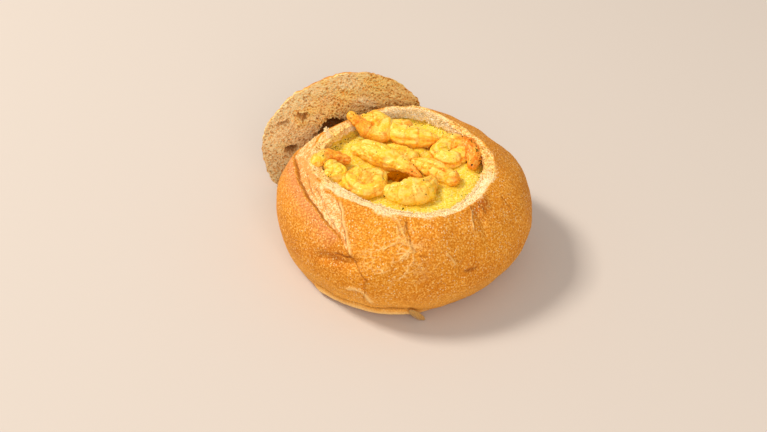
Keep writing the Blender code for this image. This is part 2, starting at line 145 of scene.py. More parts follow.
SKIN_FOLDS = (
    (((-96, 59.5), (-93, 56.5), (-91, 53.5), (-89.2, 50)), 0.6, 0.5),
    (((-89, 50.5), (-87.6, 47.5), (-87.2, 44.5), (-89, 42.2)), 0.6, 0.45),
    (((-99, 50), (-96, 51), (-92.6, 51.6), (-90.6, 50.4)), 0.6, 0.45),
    (((-88.4, 57), (-87.2, 55.5), (-86.8, 53.5)), 0.4, 0.45),
    (((-94.5, 45.5), (-92, 46.4), (-90, 46.6)), 0.5, 0.4),
    (((-49.5, 58.5), (-53, 54.5), (-56, 50)), 1.0, 0.6),
    (((-73, 46.5), (-70.4, 43), (-68.6, 38.5)), 0.6, 0.6),
    (((-134, 61), (-127.5, 57.5), (-121, 52), (-116.5, 46.5), (-114, 43)), 1.0, 0.8),
    (((-117, 22), (-112, 24), (-107, 22), (-104, 15)), 0.8, 1.2),
    (((-142, 4.5), (-124, 4), (-108, 5.2), (-94, 6), (-78, 5)), 1.5, 1.8),
)
# Browner places on the crust, some of them painted shade in hollows beside creases and folds: (bearing,
# height in mm, half width in mm, strength)
BROWNED_AND_SHADED = (
    (-123, 39, 8, 0.8), (-131, 36, 8, 0.4), (-41, 57, 5.5, 1.0), (-47, 56.5, 3.5, 0.9),
    (-61, 33, 7, 0.45), (-82, 51, 7, 0.4), (-76, 56, 6, 0.3), (-30, 50, 9, 0.3), (-55, 20, 12, 0.35),
    (-80, 30, 12, 0.2), (-150, 30, 12, 0.3), (-10, 40, 12, 0.3),
)
# Elephant skin below the rim in front: bearing, height and half width in mm
WRINKLED = (-96, 46, 15)
WRINKLE_TILT = 18.0

# A flake of crumb that stands up from the rim at the left back
FLAKE_FOOT = (-45.0 * MM, 23.5 * MM, 61.5 * MM)
FLAKE_TIP = (-47.2 * MM, 25.5 * MM, 66.5 * MM)
FLAKE_SPREAD = 0.7 * MM
FLAKE_SHREDS = 60
FLAKE_FACE = (0.3, -0.6, 0.7)

# No shreds stand on the brown wall left of this place and under this height
HOLLOW_SIDE = -38 * MM
HOLLOW_TOP = 59.4 * MM

# The cut-off top
LID_CENTRE = (-37.4 * MM, 67.9 * MM, 31.0 * MM)
LID_TURN = 14.2
LID_LEAN = 9.0
LID_RADIUS = 53.0 * MM
LID_DEPTH = 21.0 * MM
LID_LOBES = ((2, 0.008, 20), (3, 0.010, 75), (5, 0.008, 10), (9, 0.006, 8), (14, 0.005, 3))
LID_DOME_POWERS = (2.6, 0.72)
# (right, up, half width, half height, depth, turn in degrees) on the face, in mm
LID_HOLES = (
    (-8, 9.3, 12, 8.5, 9, 22), (-27, 24.0, 4.6, 3.6, 4, -35), (-39.5, 20.0, 4.6, 2.2, 3, 15),
    (-34.8, -2.4, 4.6, 3.8, 6, -35), (18.7, 22.3, 3.4, 1.8, 2.5, -10),
)

# Shrimps, each as stations (x, y, z, thickness) in millimetres from the head to the tail
SHRIMPS = (
    (
        (-22.5, 41, 62, 10.5), (-16, 40, 62, 13), (-12.5, 34.5, 60.5, 12.5), (-14.5, 29.5, 58.5, 10.5),
        (-22, 31, 61, 8.5), (-32, 38.5, 67, 6),
    ),
    (
        (19, 27, 57, 6), (13, 26.5, 58, 11.5), (4.5, 27.5, 58.5, 14), (-3, 30, 59, 13.5),
        (-6, 35.5, 60, 11), (1, 37, 61, 8),
    ),
    (
        (32, 11, 56, 12), (25.5, 6, 56.5, 12), (20.5, 13, 57, 12), (27, 21, 58, 12),
        (36, 18.5, 58, 12), (40, 8, 57.5, 9), (38.5, 0, 57, 6),
    ),
    (
        (-28, 17.5, 56.5, 9), (-21.5, 14, 58, 13.5), (-11.5, 5.5, 58.5, 14), (-1, -2.5, 58, 9.5),
        (7.5, -10, 56.5, 4.5),
    ),
    ((-8, 20, 54, 9), (-2, 15, 55, 10), (4, 12, 54.5, 9)),
    ((5.5, 3, 58, 5), (11, -1.5, 58, 10), (19.5, -7.5, 57, 12.5), (26.5, -12.5, 56.5, 9)),
    (
        (-10.5, -24.5, 56, 9), (-4.5, -26.5, 56, 14), (2.5, -27.5, 56.5, 18.5), (9.5, -24.5, 57, 16.5),
        (14.5, -18, 58.5, 8),
    ),
    (
        (-28, -10.5, 58, 10), (-31, -18, 57, 11.5), (-24, -25.5, 56.5, 10.5), (-16, -22, 57, 10),
        (-16, -13, 57.5, 9.5), (-22, -11, 57.5, 9), (-23, -17, 57.5, 10),
    ),
    ((-45.5, -12, 56, 10), (-39.5, -10, 57.5, 13), (-42.5, -6.5, 61, 9)),
    ((-50.5, -3, 62, 9), (-44.5, 2.5, 61.5, 9.5), (-34.5, 2.5, 59.5, 6)),
    ((-11.5, -8.5, 52.5, 9), (-5, -8, 53, 10), (2, -9, 52.5, 9)),
)
# Looks of each shrimp: how orange its back is, from which share of its length its tail is orange, how
# high its plates stand in mm, how many degrees up from the side its back's groove runs, how red its tail is
LOOKS = (
    (0.8, 0.60, 0.45, 75, 0.6), (0.5, 0.86, 0.15, 22, 0.7), (0.75, 0.56, 0.90, 15, 1.0),
    (0.35, 0.80, 0.30, 105, 0.8), (0.3, 1.20, 0.30, 60, 0.0), (0.9, 0.88, 0.25, 75, 0.8),
    (0.5, 0.92, 0.20, 78, 0.6), (0.8, 0.74, 0.30, 50, 0.45), (0.1, 1.20, 0.20, 60, 0.0),
    (0.9, 0.30, 0.30, 60, 0.6), (1.0, 0.00, 0.30, 60, 1.0),
)
# The shrimp that lies deep between the others, painted dark orange-brown as shade
SUNKEN = (11,)
SEGMENTS = 6
SEGMENT_STEP = 0.08

# The scrap of onion at the loaf's foot
SCRAP_PLACE = (6.0 * MM, -71.8 * MM)
SCRAP_SIZE = (2.6 * MM, 0.8 * MM, 7.2 * MM)
SCRAP_LEAN = 20.0
SCRAP_TURN = -36.0

NOISE_PRIMES = (73856093, 19349663, 83492791)

# How finely things are drawn; the hidden rows are those of the hollow's wall under the sauce
COLUMNS = 680
CRUST_ROWS = 180
RIM_ROWS = 26
WALL_ROWS = 40
HIDDEN_ROWS = 8
LID_COLUMNS = 500
LID_FACE_ROWS = 134
LID_DOME_ROWS = 32
CURRY_COLUMNS = 420
CURRY_ROWS = 150
SHRIMP_RINGS = 150
SHRIMP_SIDES = 28
SHRIMP_SKIN = 0.42 * MM

# Lamps: name, place and size in metres, power, colour
LIGHTS = (
    ("key", (-1.5, 0.45, 1.9), 0.55, 50.0, (255, 250, 240)),
    ("fill", (0.4, -2.0, 1.3), 1.2, 26.0, (255, 250, 243)),
)
LIGHT_AIM = (0, 0, 0.03)
WORLD_COLOR = (255, 251, 246)
WORLD_STRENGTH = 0.52
FLOOR_REACH = 3.0

CAMERA_LENS = 56.32
CAMERA_SENSOR = 36.0
CAMERA_AIM = (-0.0128, 0.0280, 0)
CAMERA_ELEVATION = 36.8
CAMERA_DISTANCE = 0.751


def lattice(cell, seed):
    """A repeatable number from 0 to 1 for each cell of a lattice."""
    key = np.full(cell.shape[:-1], seed * 7919, np.int64)
    for axis in range(3):
        key = key ^ (cell[..., axis] * NOISE_PRIMES[axis])
    key = (key ^ (key >> 13)) & 0xFFFFFF
    key = (key * (key * 15731 + 789221) + 1376312589) & 0x7FFFFFFF
    return key / 0x7FFFFFFF


def noise(points, size, seed):
    """Smooth noise from -1 to 1, with cells of the given size."""
    grid = np.asarray(points) / size
    cell = np.floor(grid)
    part = grid - cell
    part = part * part * (3 - 2 * part)
    cell = cell.astype(np.int64)
    total = np.zeros(grid.shape[:-1])
    for corner in np.ndindex(2, 2, 2):
        weight = np.ones(total.shape)
        for axis, step in enumerate(corner):
            weight = weight * (part[..., axis] if step else 1 - part[..., axis])
        total = total + weight * (2 * lattice(cell + np.array(corner), seed) - 1)
    return total


def layered(points, size, seed, layers=3):
    """Noise with finer and fainter layers added."""
    total = np.zeros(np.asarray(points).shape[:-1])
    for layer in range(layers):
        total = total + noise(points, size / 2**layer, seed + layer) / 2**layer
    return total


def wobble(points, size, seed):
    """A vector of three noises for each point."""
    return np.stack([noise(points, size, seed + k) for k in range(3)], -1)


def cells(points, size, seed):
    """Distances to the nearest two of scattered points, in cells, and the nearest one's own number."""
    grid = np.asarray(points) / size
    home = np.floor(grid).astype(np.int64)
    first, second = np.full(home.shape[:-1], 9.0), np.full(home.shape[:-1], 9.0)
    owner = np.zeros(home.shape[:-1])
    for corner in np.ndindex(3, 3, 3):
        cell = home + np.array(corner) - 1
        spot = np.stack([lattice(cell, seed + k) for k in range(3)], -1) + cell
        gap = np.linalg.norm(grid - spot, axis=-1)
        closer = gap < first
        second = np.where(closer, first, np.minimum(second, gap))
        first = np.where(closer, gap, first)
        owner = np.where(closer, lattice(cell, seed + 5), owner)
    return first, second, owner


def ease(value, low, high):
    """0 below low, 1 above high, smooth between them."""
    t = np.clip((value - low) / (high - low), 0, 1)
    return t * t * (3 - 2 * t)


def bell(gap, width):
    """1 where the gap is 0, falling smoothly to about a third at one width."""
    return np.exp(-((gap / width) ** 2))


def lobed(theta, lobes):
    """A share of about 1 for each bearing, larger on the crests of the lobes."""
    share = np.ones_like(theta)
    for count, size, bearing in lobes:
        share = share + size * np.cos(count * (theta - math.radians(bearing)))
    return share


def columns(count):
    """Bearings round the loaf, closer together in front."""
    even = np.arange(count) * 2 * math.pi / count
    share, bearing = CROWDING
    return even - share * np.sin(even - math.radians(bearing))


def facing(points, bearing, low, high):
    """1 where points lie towards a bearing, 0 away from it; low and high are cosines."""
    own = np.arctan2(points[:, 1], points[:, 0])
    return ease(np.cos(own - math.radians(bearing)), low, high)


def rim_radius(theta):
    """Radius of the cut rim's outer edge."""
    return RIM_RADIUS * lobed(theta, RIM_LOBES)


def rim_height(theta):
    """Height of the cut rim's outer edge."""
    radius = rim_radius(theta)
    tilt = radius * (RIM_SLOPE[0] * np.cos(theta) + RIM_SLOPE[1] * np.sin(theta))
    return RIM_HEIGHT * lobed(theta, RIM_HEIGHT_LOBES) + tilt


def crumb_edge(theta):
    """Radius of the crumb's inner edge, where the hollow begins."""
    return rim_radius(theta) - CRUMB_WIDTH * lobed(theta, CRUMB_LOBES)


def bare_crust(theta, climb):
    """Points of the crust without its relief; climb runs from 0 at the base edge to 1 at the rim."""
    base = BASE_RADIUS * lobed(theta, BASE_LOBES)
    belly = BELLY_RADIUS * lobed(theta, BELLY_LOBES)
    belly_height = BELLY_HEIGHT * lobed(theta, BELLY_HEIGHT_LOBES)
    low = np.clip(climb / BELLY_SHARE, 0, 1) * math.pi / 2
    high = np.clip((climb - BELLY_SHARE) / (1 - BELLY_SHARE), 0, 1)
    radius = base + (belly - base) * np.sin(low) - (belly - rim_radius(theta)) * high**SHOULDER_POWER
    height = belly_height * (1 - np.cos(low)) + (rim_height(theta) - belly_height) * high
    return np.stack([radius * np.cos(theta), radius * np.sin(theta), height], -1)


def on_crust(bearing, height):
    """The point of the bare crust at a bearing and a height."""
    climbs = np.linspace(0, 1, 300)
    points = bare_crust(np.full(300, math.radians(bearing)), climbs)
    return points[np.abs(points[:, 2] - height).argmin()]


def round_spot(points, bearing, height, half_width):
    """1 at a place on the crust, falling off around it; height and half width in mm."""
    gap = np.linalg.norm(points - on_crust(bearing, height * MM), axis=1)
    return bell(gap, half_width * MM)


def path_on_crust(stations, steps=16):
    """A line over the crust through (bearing, height in mm) stations, with its unit tangents."""
    marks = np.arange(len(stations))
    fine = np.linspace(0, len(stations) - 1, steps * (len(stations) - 1) + 1)
    bearings = np.unwrap(np.radians([s[0] for s in stations]))
    bearings = np.degrees(np.interp(fine, marks, bearings))
    heights = np.interp(fine, marks, [s[1] for s in stations])
    points = np.array([on_crust(b, h * MM) for b, h in zip(bearings, heights)])
    tangents = np.gradient(points, axis=0)
    return fine, points, tangents / np.linalg.norm(tangents, axis=1, keepdims=True)


def nearest(points, line):
    """Index of the nearest point of a line, and the distance to it."""
    best = np.full(len(points), 9.0)
    index = np.zeros(len(points), np.int64)
    for k, spot in enumerate(line):
        gap = np.linalg.norm(points - spot, axis=1)
        closer = gap < best
        best[closer] = gap[closer]
        index[closer] = k
    return index, best


def past_line(points, normals, line, tangents):
    """Index of a line's nearest point, the distance to it, and how far points lie beside the line."""
    index, away = nearest(points, line)
    beside = ((points - line[index]) * np.cross(tangents[index], normals)).sum(axis=1)
    return index, away, beside


def ring(theta, radius, height):
    """Points at bearings, a radius and a height."""
    return np.stack([radius * np.cos(theta), radius * np.sin(theta), height + 0 * theta], -1)


def lift(points, height):
    """Points moved up by a height for each of them."""
    return points + np.stack([0 * height, 0 * height, height], -1)


def grid_normals(grid):
    """Normals of rows of points that run round a body."""
    around = np.roll(grid, -1, axis=1) - np.roll(grid, 1, axis=1)
    up = np.gradient(grid, axis=0)
    normals = np.cross(around, up)
    return normals / np.maximum(np.linalg.norm(normals, axis=2, keepdims=True), 1e-12)


def add_object(name, data):
    """An object in the scene that shows some data."""
    made = bpy.data.objects.new(name, data)
    bpy.context.collection.objects.link(made)
    return made


def set_marks(mesh, marks):
    """Gives the mesh's vertices named values, which its material reads."""
    for mark, values in marks.items():
        layer = mesh.attributes.new(mark, "FLOAT", "POINT")
        layer.data.foreach_set("value", np.asarray(values, np.float32).ravel())


def mesh_object(name, vertices, faces, material, marks=None):
    """A smoothly shaded mesh object."""
    mesh = bpy.data.meshes.new(name)
    mesh.from_pydata(np.asarray(vertices).tolist(), [], faces)
    set_marks(mesh, marks or {})
    mesh.materials.append(material)
    mesh.shade_smooth()
    return add_object(name, mesh)


def surface_of(mesh):
    """A mesh's points and their normals."""
    points, normals = np.zeros(len(mesh.vertices) * 3), np.zeros(len(mesh.vertices) * 3)
    mesh.vertices.foreach_get("co", points)
    mesh.vertices.foreach_get("normal", normals)
    return points.reshape(-1, 3), normals.reshape(-1, 3)


def tree_of(body):
    """A body's faces, ready for rays and nearest points."""
    mesh = body.data
    return BVHTree.FromPolygons([v.co for v in mesh.vertices], [p.vertices for p in mesh.polygons])


def round_ball(subdivisions):
    """Points and triangles of a ball of radius 1."""
    bm = bmesh.new()
    bmesh.ops.create_icosphere(bm, subdivisions=subdivisions, radius=1)
    bm.verts.ensure_lookup_table()
    points = np.array([v.co for v in bm.verts])
    sides = np.array([[v.index for v in f.verts] for f in bm.faces])
    bm.free()
    return points, sides


def closed_grid(grid, first, last):
    """Vertices and faces of a closed body through rows of equal length, between two centre points."""
    rows, count = grid.shape[:2]
    vertices = np.vstack([[first], grid.reshape(-1, 3), [last]])
    index = 1 + np.arange(rows * count).reshape(rows, count)
    beside = np.roll(index, -1, axis=1)
    quads = np.stack([index[:-1], beside[:-1], beside[1:], index[1:]], -1).reshape(-1, 4)
    end = len(vertices) - 1
    faces = quads.tolist()
    faces += [(0, beside[0, j], index[0, j]) for j in range(count)]
    faces += [(end, index[-1, j], beside[-1, j]) for j in range(count)]
    return vertices, [tuple(int(v) for v in f) for f in faces]


def linear(color):
    """An sRGB colour in bytes as linear RGBA."""
    share = [c / 255 for c in color]
    return (*[c / 12.92 if c <= 0.04045 else ((c + 0.055) / 1.055) ** 2.4 for c in share], 1)


class Paint:
    """Builds one Principled material from layers of colour, each laid on by a mask."""

    def __init__(self, name, base, roughness):
        self.material = bpy.data.materials.new(name)
        self.material.use_nodes = True
        self.tree = self.material.node_tree
        self.shader = self.tree.nodes["Principled BSDF"]
        self.shader.inputs["Roughness"].default_value = roughness
        self.place = self.tree.nodes.new("ShaderNodeTexCoord").outputs["Object"]
        self.color = linear(base)
        self.height = None

    def node(self, kind, **inputs):
        """A new node with its inputs fed by name."""
        made = self.tree.nodes.new(kind)
        for name, value in inputs.items():
            self.feed(made.inputs[name.replace("_", " ")], value)
        return made

    def feed(self, socket, value):
        """Links a socket to another or to a mark by its name, or sets it to a plain value."""
        if isinstance(value, str):
            value = self.mark(value)
        if isinstance(value, bpy.types.NodeSocket):
            self.tree.links.new(value, socket)
        else:
            socket.default_value = value

    def noise(self, size, detail=3):
        """Noise about 0.5, with features of a size in mm."""
        made = self.node("ShaderNodeTexNoise", Vector=self.place, Scale=1 / (size * MM), Detail=detail)
        return made.outputs["Fac"]

    def spots(self, size, radius, share):
        """1 inside round spots in a share of the cells; the size of the cells is in mm."""
        made = self.node("ShaderNodeTexVoronoi", Vector=self.place, Scale=1 / (size * MM))
        near = self.span(made.outputs["Distance"], radius, radius * 0.5)
        split = self.node("ShaderNodeSeparateColor", Color=made.outputs["Color"])
        chosen = self.math("LESS_THAN", split.outputs[0], share)
        return self.times(near, chosen)

    def mark(self, name):
        """The vertices' values of one name."""
        made = self.tree.nodes.new("ShaderNodeAttribute")
        made.attribute_name = name
        return made.outputs["Fac"]

    def math(self, operation, first, second):
        """One sum of two values."""
        made = self.tree.nodes.new("ShaderNodeMath")
        made.operation = operation
        self.feed(made.inputs[0], first)
        self.feed(made.inputs[1], second)
        return made.outputs[0]

    def times(self, first, second):
        """The product of two values."""
        return self.math("MULTIPLY", first, second)

    def frayed(self, name, fray, strength):
        """The vertices' values of one name, roughened by a noise about 0.5."""
        rough = self.times(self.math("SUBTRACT", fray, 0.5), strength)
        return self.math("ADD", self.mark(name), rough)

    def span(self, value, low, high):
        """value from low to high as 0 to 1, smoothly."""
        made = self.node("ShaderNodeMapRange", Value=value)
        made.interpolation_type = "SMOOTHSTEP"
        made.inputs["From Min"].default_value = low
        made.inputs["From Max"].default_value = high
        return made.outputs[0]

    def lay(self, color, mask, strength=1.0):
        """Lays a colour over what is there, where the mask says."""
        made = self.tree.nodes.new("ShaderNodeMix")
        made.data_type = "RGBA"
        self.feed(made.inputs["Factor"], self.times(mask, strength))
        self.feed(made.inputs["A"], self.color)
        made.inputs["B"].default_value = linear(color)
        self.color = made.outputs["Result"]

    def raise_by(self, value, metres):
        """Adds value times metres to the bump."""
        step = self.times(value, metres)
        self.height = step if self.height is None else self.math("ADD", self.height, step)

    def finish(self, **settings):
        """Joins the colour and the bump to the shader, with its other settings by name."""
        self.feed(self.shader.inputs["Base Color"], self.color)
        if self.height is not None:
            bump = self.node("ShaderNodeBump", Height=self.height, Distance=1.0, Strength=1.0)
            self.feed(self.shader.inputs["Normal"], bump.outputs[0])
        for name, value in settings.items():
            self.feed(self.shader.inputs[name.replace("_", " ")], value)
        return self.material


def paint_crust(paint):
    """Lays the crust's mottling, grain, bloom, folds and cracks; gives back its grain and blisters."""
    paint.lay((210, 124, 34), paint.span(paint.noise(24, 2), 0.45, 0.72), 0.5)
    paint.lay((238, 162, 60), paint.span(paint.noise(7, 3), 0.5, 0.78), 0.5)
    paint.lay((240, 168, 66), "foot", 0.6)
    # Painted shade in hollows beside creases and folds, with browner places of the crust
    paint.lay((186, 96, 26), "browned_and_shaded", 0.85)
    paint.lay((222, 140, 88), "rolled", 0.8)
    grain = paint.noise(1.0, 2)
    paint.lay((172, 88, 14), paint.span(grain, 0.53, 0.34), 0.5)
    paint.lay((255, 204, 112), paint.span(grain, 0.53, 0.66), 0.56)
    speck = paint.spots(1.5, 0.34, 0.6)
    sown = paint.times(speck, paint.span(paint.noise(9, 2), 0.3, 0.6))
    paint.lay((255, 228, 176), sown, 0.65)
    paint.lay((248, 180, 82), "foot", 0.35)
    paint.lay((232, 158, 84), "bloom", 0.85)
    torn = paint.span(paint.frayed("torn", paint.noise(0.8, 3), 3.0), 0.25, 0.85)
    paint.lay((255, 218, 156), paint.times(torn, "bloom"), 0.95)
    paint.lay((255, 214, 142), "scaly", 0.95)
    # Painted shade along the main crack and in the fine cracks
    paint.lay((132, 66, 20), "crease_shade", 0.85)
    return grain, speck


def paint_crumb(paint, crumb):
    """Lays the crumb over the crust, with painted shade in its pits, painted highlights on its raised
    strands, toast and soaked edge; gives back its grit.
    """
    grit = paint.noise(1.3, 4)
    rise = paint.frayed("rise", grit, 2.8)
    # Painted highlight on the raised strands and painted shade in the pits, plain and toasted
    high = paint.times(crumb, paint.span(rise, 0.5, 0.8))
    deep = paint.times(crumb, paint.span(rise, 0.45, 0.1))
    toast = paint.times(crumb, "toast")
    pale = paint.mark("pale")
    paint.lay((250, 208, 138), crumb)
    paint.lay((255, 236, 192), high, 0.85)
    paint.lay((230, 168, 88), deep, 0.8)
    paint.lay((250, 178, 62), toast, 0.9)
    paint.lay((255, 228, 142), paint.times(toast, high))
    paint.lay((156, 94, 14), paint.times(toast, deep), 0.9)
    # Painted light on the back wall's crumb and on the lid face's left side
    paint.lay((255, 240, 200), paint.times(crumb, pale), 0.75)
    paint.lay((255, 250, 226), paint.times(high, pale), 0.8)
    # Painted shade in the crumb's hollow and in the lid's holes, with the lid's baked rim
    paint.lay((124, 66, 8), paint.times(crumb, "browned_and_shaded"), 0.85)
    paint.lay((236, 190, 50), "soak", 0.9)
    return grit


def bread_material():
    """Crust and crumb in one material, since they fray into each other at the rim."""
    paint = Paint("bread", (226, 144, 38), 0.6)
    crumb = paint.mark("crumb")
    crusty = paint.math("SUBTRACT", 1.0, crumb)
    grain, speck = paint_crust(paint)
    grit = paint_crumb(paint, crumb)
    paint.raise_by(paint.times(grain, crusty), 0.5 * MM)
    paint.raise_by(paint.times(speck, crusty), 0.14 * MM)
    paint.raise_by(paint.times(paint.noise(0.5, 2), crusty), 0.15 * MM)
    paint.raise_by(paint.times(grit, crumb), 1.3 * MM)
    return paint.finish(Specular_IOR_Level=0.06)


def sauce_material():
    """Thick, grainy yellow sauce, with painted shade beside the shrimps and dark orange-brown painted shade
    in the gaps between them.
    """
    paint = Paint("curry_sauce", (243, 210, 78), 0.36)
    paint.lay((222, 180, 18), paint.span(paint.noise(6, 3), 0.45, 0.7), 0.6)
    paint.lay((250, 218, 124), paint.span(paint.noise(2.2, 4), 0.5, 0.64), 0.65)
    grain = paint.noise(1.1, 3)
    paint.lay((212, 168, 10), paint.span(grain, 0.5, 0.34), 0.65)
    paint.lay((255, 234, 156), paint.span(grain, 0.54, 0.68), 0.55)
    paint.lay((226, 168, 8), "shade", 0.6)
    # Painted shadow on the sauce beside each shrimp, on its side away from the key lamp
    paint.lay((206, 136, 0), "lee_shadow", 0.75)
    # Painted shade: dark orange-brown in the gaps between shrimps
    paint.lay((120, 48, 2), "gap_shade", 0.95)
    paint.raise_by(paint.noise(1.5, 4), 0.6 * MM)
    paint.raise_by(grain, 0.35 * MM)
    return paint.finish(
        Specular_IOR_Level=0.06,
        Subsurface_Weight=0.25,
        Subsurface_Radius=(0.005, 0.0026, 0.0004),
        Subsurface_Scale=0.7,
    )


def shrimp_material():
    """Cooked flesh: pale plates, orange-red bands and tail, painted shade underneath, sauce in patches."""
    paint = Paint("shrimp_flesh", (253, 198, 60), 0.3)
    tail, sauced = paint.mark("tail"), paint.mark("sauced")
    streak = paint.span(paint.noise(1.3, 4), 0.42, 0.64)
    patchy = paint.span(paint.noise(5, 2), 0.4, 0.7)
    clot = paint.span(paint.noise(1.2, 3), 0.5, 0.66)
    paint.lay((255, 222, 126), "pale", 0.8)
    paint.lay((240, 154, 34), paint.times(streak, patchy), 0.8)
    paint.lay((224, 100, 14), paint.times("band", paint.span(streak, -0.8, 1)), 0.95)
    paint.lay((236, 136, 36), tail, 0.95)
    paint.lay((210, 84, 8), paint.times(tail, streak), 0.7)
    paint.lay((242, 196, 36), sauced, 0.75)
    paint.lay((255, 226, 130), paint.times(sauced, clot), 0.6)
    # Painted shade on the skin that faces down
    paint.lay((218, 134, 4), "under", 0.6)
    paint.raise_by(paint.noise(1.0, 3), 0.35 * MM)
    paint.raise_by(paint.times(paint.noise(0.6, 2), sauced), 0.25 * MM)
    return paint.finish(
        Subsurface_Weight=0.08,
        Subsurface_Radius=(0.003, 0.0012, 0.0004),
        Subsurface_Scale=0.4,
        Specular_IOR_Level=0.1,
        Coat_Weight=0.12,
        Coat_Roughness=0.15,
    )


def plain_material(name, color, roughness, **settings):
    """A colour with darker mottling, for small things."""
    paint = Paint(name, color, roughness)
    darker = tuple(int(c * 0.72) for c in color)
    paint.lay(darker, paint.span(paint.noise(0.8, 2), 0.45, 0.7), 0.6)
    return paint.finish(**settings)


def line_marks(points, lines, way):
    """Relief of thin lines over the crust, up or down, and how much each point lies in one."""
    relief, within = np.zeros(len(points)), np.zeros(len(points))
    deepest = max(size for _, size, _ in lines)
    for stations, size, half_width in lines:
        line = path_on_crust(stations)[1]
        ends = np.minimum(np.arange(len(line)), np.arange(len(line))[::-1]) / 6
        index, away = nearest(points, line)
        share = np.clip(ends, 0.15, 1)[index] * bell(away, half_width * MM)
        relief += way * size * MM * share
        within = np.maximum(within, share * math.sqrt(size / deepest))
    return relief, within


def crack_relief(frayed, normals):
    """The main crack: its relief, the painted shade along it, its rolled lower lip, and where points lie to
    it.
    """
    marks, line, tangents = path_on_crust(CRACK)
    index, away, below = past_line(frayed, normals, line, tangents)
    over = np.interp(marks, range(len(CRACK)), [s[2] for s in CRACK])[index]
    side = ease(np.where(over > 0, below, -below), -0.6 * MM, 0.2 * MM)
    lip = CRACK_LIP * np.exp(-away / LIP_REACH)
    drop = -CRACK_DROP * np.exp(-away / DROP_REACH)
    relief = np.abs(over) * (drop + (lip - drop) * side)
    # Painted shade in a thin line along the crack
    crease_shade = np.abs(over) * bell(below + 0.45 * MM, 0.4 * MM) * ease(away, 3 * MM, 1 * MM)
    rolled = ease(over, 0.1, 0.5) * ease(below, -0.2 * MM, 1.2 * MM) * bell(away, 9 * MM)
    return relief, crease_shade, rolled, (index, away, below)


def bloom_relief(points, normals, shaken, crack):
    """The pale torn crust between the crack and the rim: its relief, where it is, and its tone."""
    index, away, below = crack
    _, edge, tangents = path_on_crust(BLOOM_EDGE)
    left = past_line(points + shaken * 0.6 * MM, normals, edge, tangents)[2]
    left = left + 1.3 * MM * noise(points, 5 * MM, 68)
    bearing = np.degrees(np.arctan2(points[:, 1], points[:, 0]))
    onward = (bearing > 120) | (bearing < -112)
    bloom = ease(-below, 0.2 * MM, 0.9 * MM) * ease(left, -0.5 * MM, 0.5 * MM) * onward
    bloom = bloom * ease(30 * MM - away, 0, 12 * MM) * ease(points[:, 2], 38 * MM, 44 * MM)
    streaked = np.stack([index * 0.25 * MM, below, 0 * below], -1) + shaken * 0.8 * MM
    pits = cells(points * [1, 1, 0.7] + shaken * 0.8 * MM, 1.6 * MM, 78)[0]
    torn = layered(streaked, 1.1 * MM, 71, 2) * 0.45 + layered(points, 1.5 * MM, 75) * 0.5
    torn -= 0.4 * ease(0.5 - pits, 0, 0.4)
    tone = np.clip(0.58 - 0.35 * facing(points, -172, 0.9, 0.99) + 0.7 * torn, 0, 1) * bloom
    return bloom * (0.75 * torn - 0.4) * MM, bloom, tone


def wrinkle_relief(points, shaken):
    """Relief of the wrinkled skin below the rim in front, and how much each point lies in a fold."""
    wrinkled = round_spot(points, *WRINKLED)
    tilt = math.radians(WRINKLE_TILT)
    along = points[:, 0] * math.cos(tilt) + points[:, 2] * math.sin(tilt)
    up = points[:, 2] * math.cos(tilt) - points[:, 0] * math.sin(tilt)
    warped = np.stack([along * 0.42, up, 0 * up], -1) + shaken * 0.6 * MM
    first, second, _ = cells(warped, 2.2 * MM, 81)
    fold = (1 - ease(second - first, 0.0, 0.2)) * ease(noise(warped, 3.0 * MM, 83), -0.2, 0.3)
    relief = wrinkled * MM * (0.5 * fold + 0.15 * layered(warped, 2.0 * MM, 85, 2))
    return relief, wrinkled * fold


def crust_relief(points, normals):
    """The crust's relief in metres, and where it is rolled, torn, scaly or browner, and where shade is
    painted along its cracks and in hollows.
    """
    shaken = wobble(points, 3 * MM, 60)
    frayed = points + shaken * 0.6 * MM
    relief, crease_shade, rolled, crack = crack_relief(frayed, normals)
    bloom_height, bloom, tone = bloom_relief(points, normals, shaken, crack)
    relief += bloom_height
    for stations, depth, half_width in CREASES:
        gap = nearest(frayed, path_on_crust(stations)[1])[1]
        relief -= depth * MM * bell(gap, half_width * MM)
    cracks, in_crack = line_marks(frayed, FINE_CRACKS, -1)
    folds, in_fold = line_marks(frayed, SKIN_FOLDS, 1)
    relief += cracks + folds
    for bearing, height, rise, half_width in SWELLS:
        relief += rise * MM * round_spot(points, bearing, height, half_width)
    relief += 0.5 * MM * noise(points, 9 * MM, 3)
    wrinkles, in_wrinkle = wrinkle_relief(points, shaken)
    relief += wrinkles
    relief += 0.10 * MM * layered(points, 2.4 * MM, 95)
    browned_and_shaded = np.zeros(len(points))
    for bearing, height, half_width, strength in BROWNED_AND_SHADED:
        browned_and_shaded = np.maximum(browned_and_shaded, strength * round_spot(frayed, bearing, height, half_width))
    return relief, {
        "crease_shade": np.maximum(crease_shade, in_crack),
        "rolled": rolled,
        "bloom": bloom,
        "torn": tone,
        "scaly": np.maximum(in_fold, 0.9 * in_wrinkle),
        "browned_and_shaded": browned_and_shaded,
    }


def crumb_relief(points, coarse, seed):
    """Pits and shreds of torn crumb in metres, and how far each point is up from the pits, 0 to 1."""
    warped = points + 0.25 * coarse * wobble(points, coarse, seed + 60)
    first, second, owner = cells(warped, coarse, seed)
    wall = 1 - ease(second - first, 0.05, 0.45)
    pit = (1 - wall) * ease(owner, 0.15, 0.7)
    first, second, _ = cells(warped, coarse * 0.5, seed + 20)
    fine_wall = 1 - ease(second - first, 0.0, 0.45)
    shred = layered(points, coarse * 0.5, seed + 40, 3)
    relief = coarse * (0.16 * fine_wall + 0.16 * shred - 0.42 * pit)
    return relief, np.clip(0.55 - 0.75 * pit + 0.35 * fine_wall + 0.3 * shred, 0, 1)


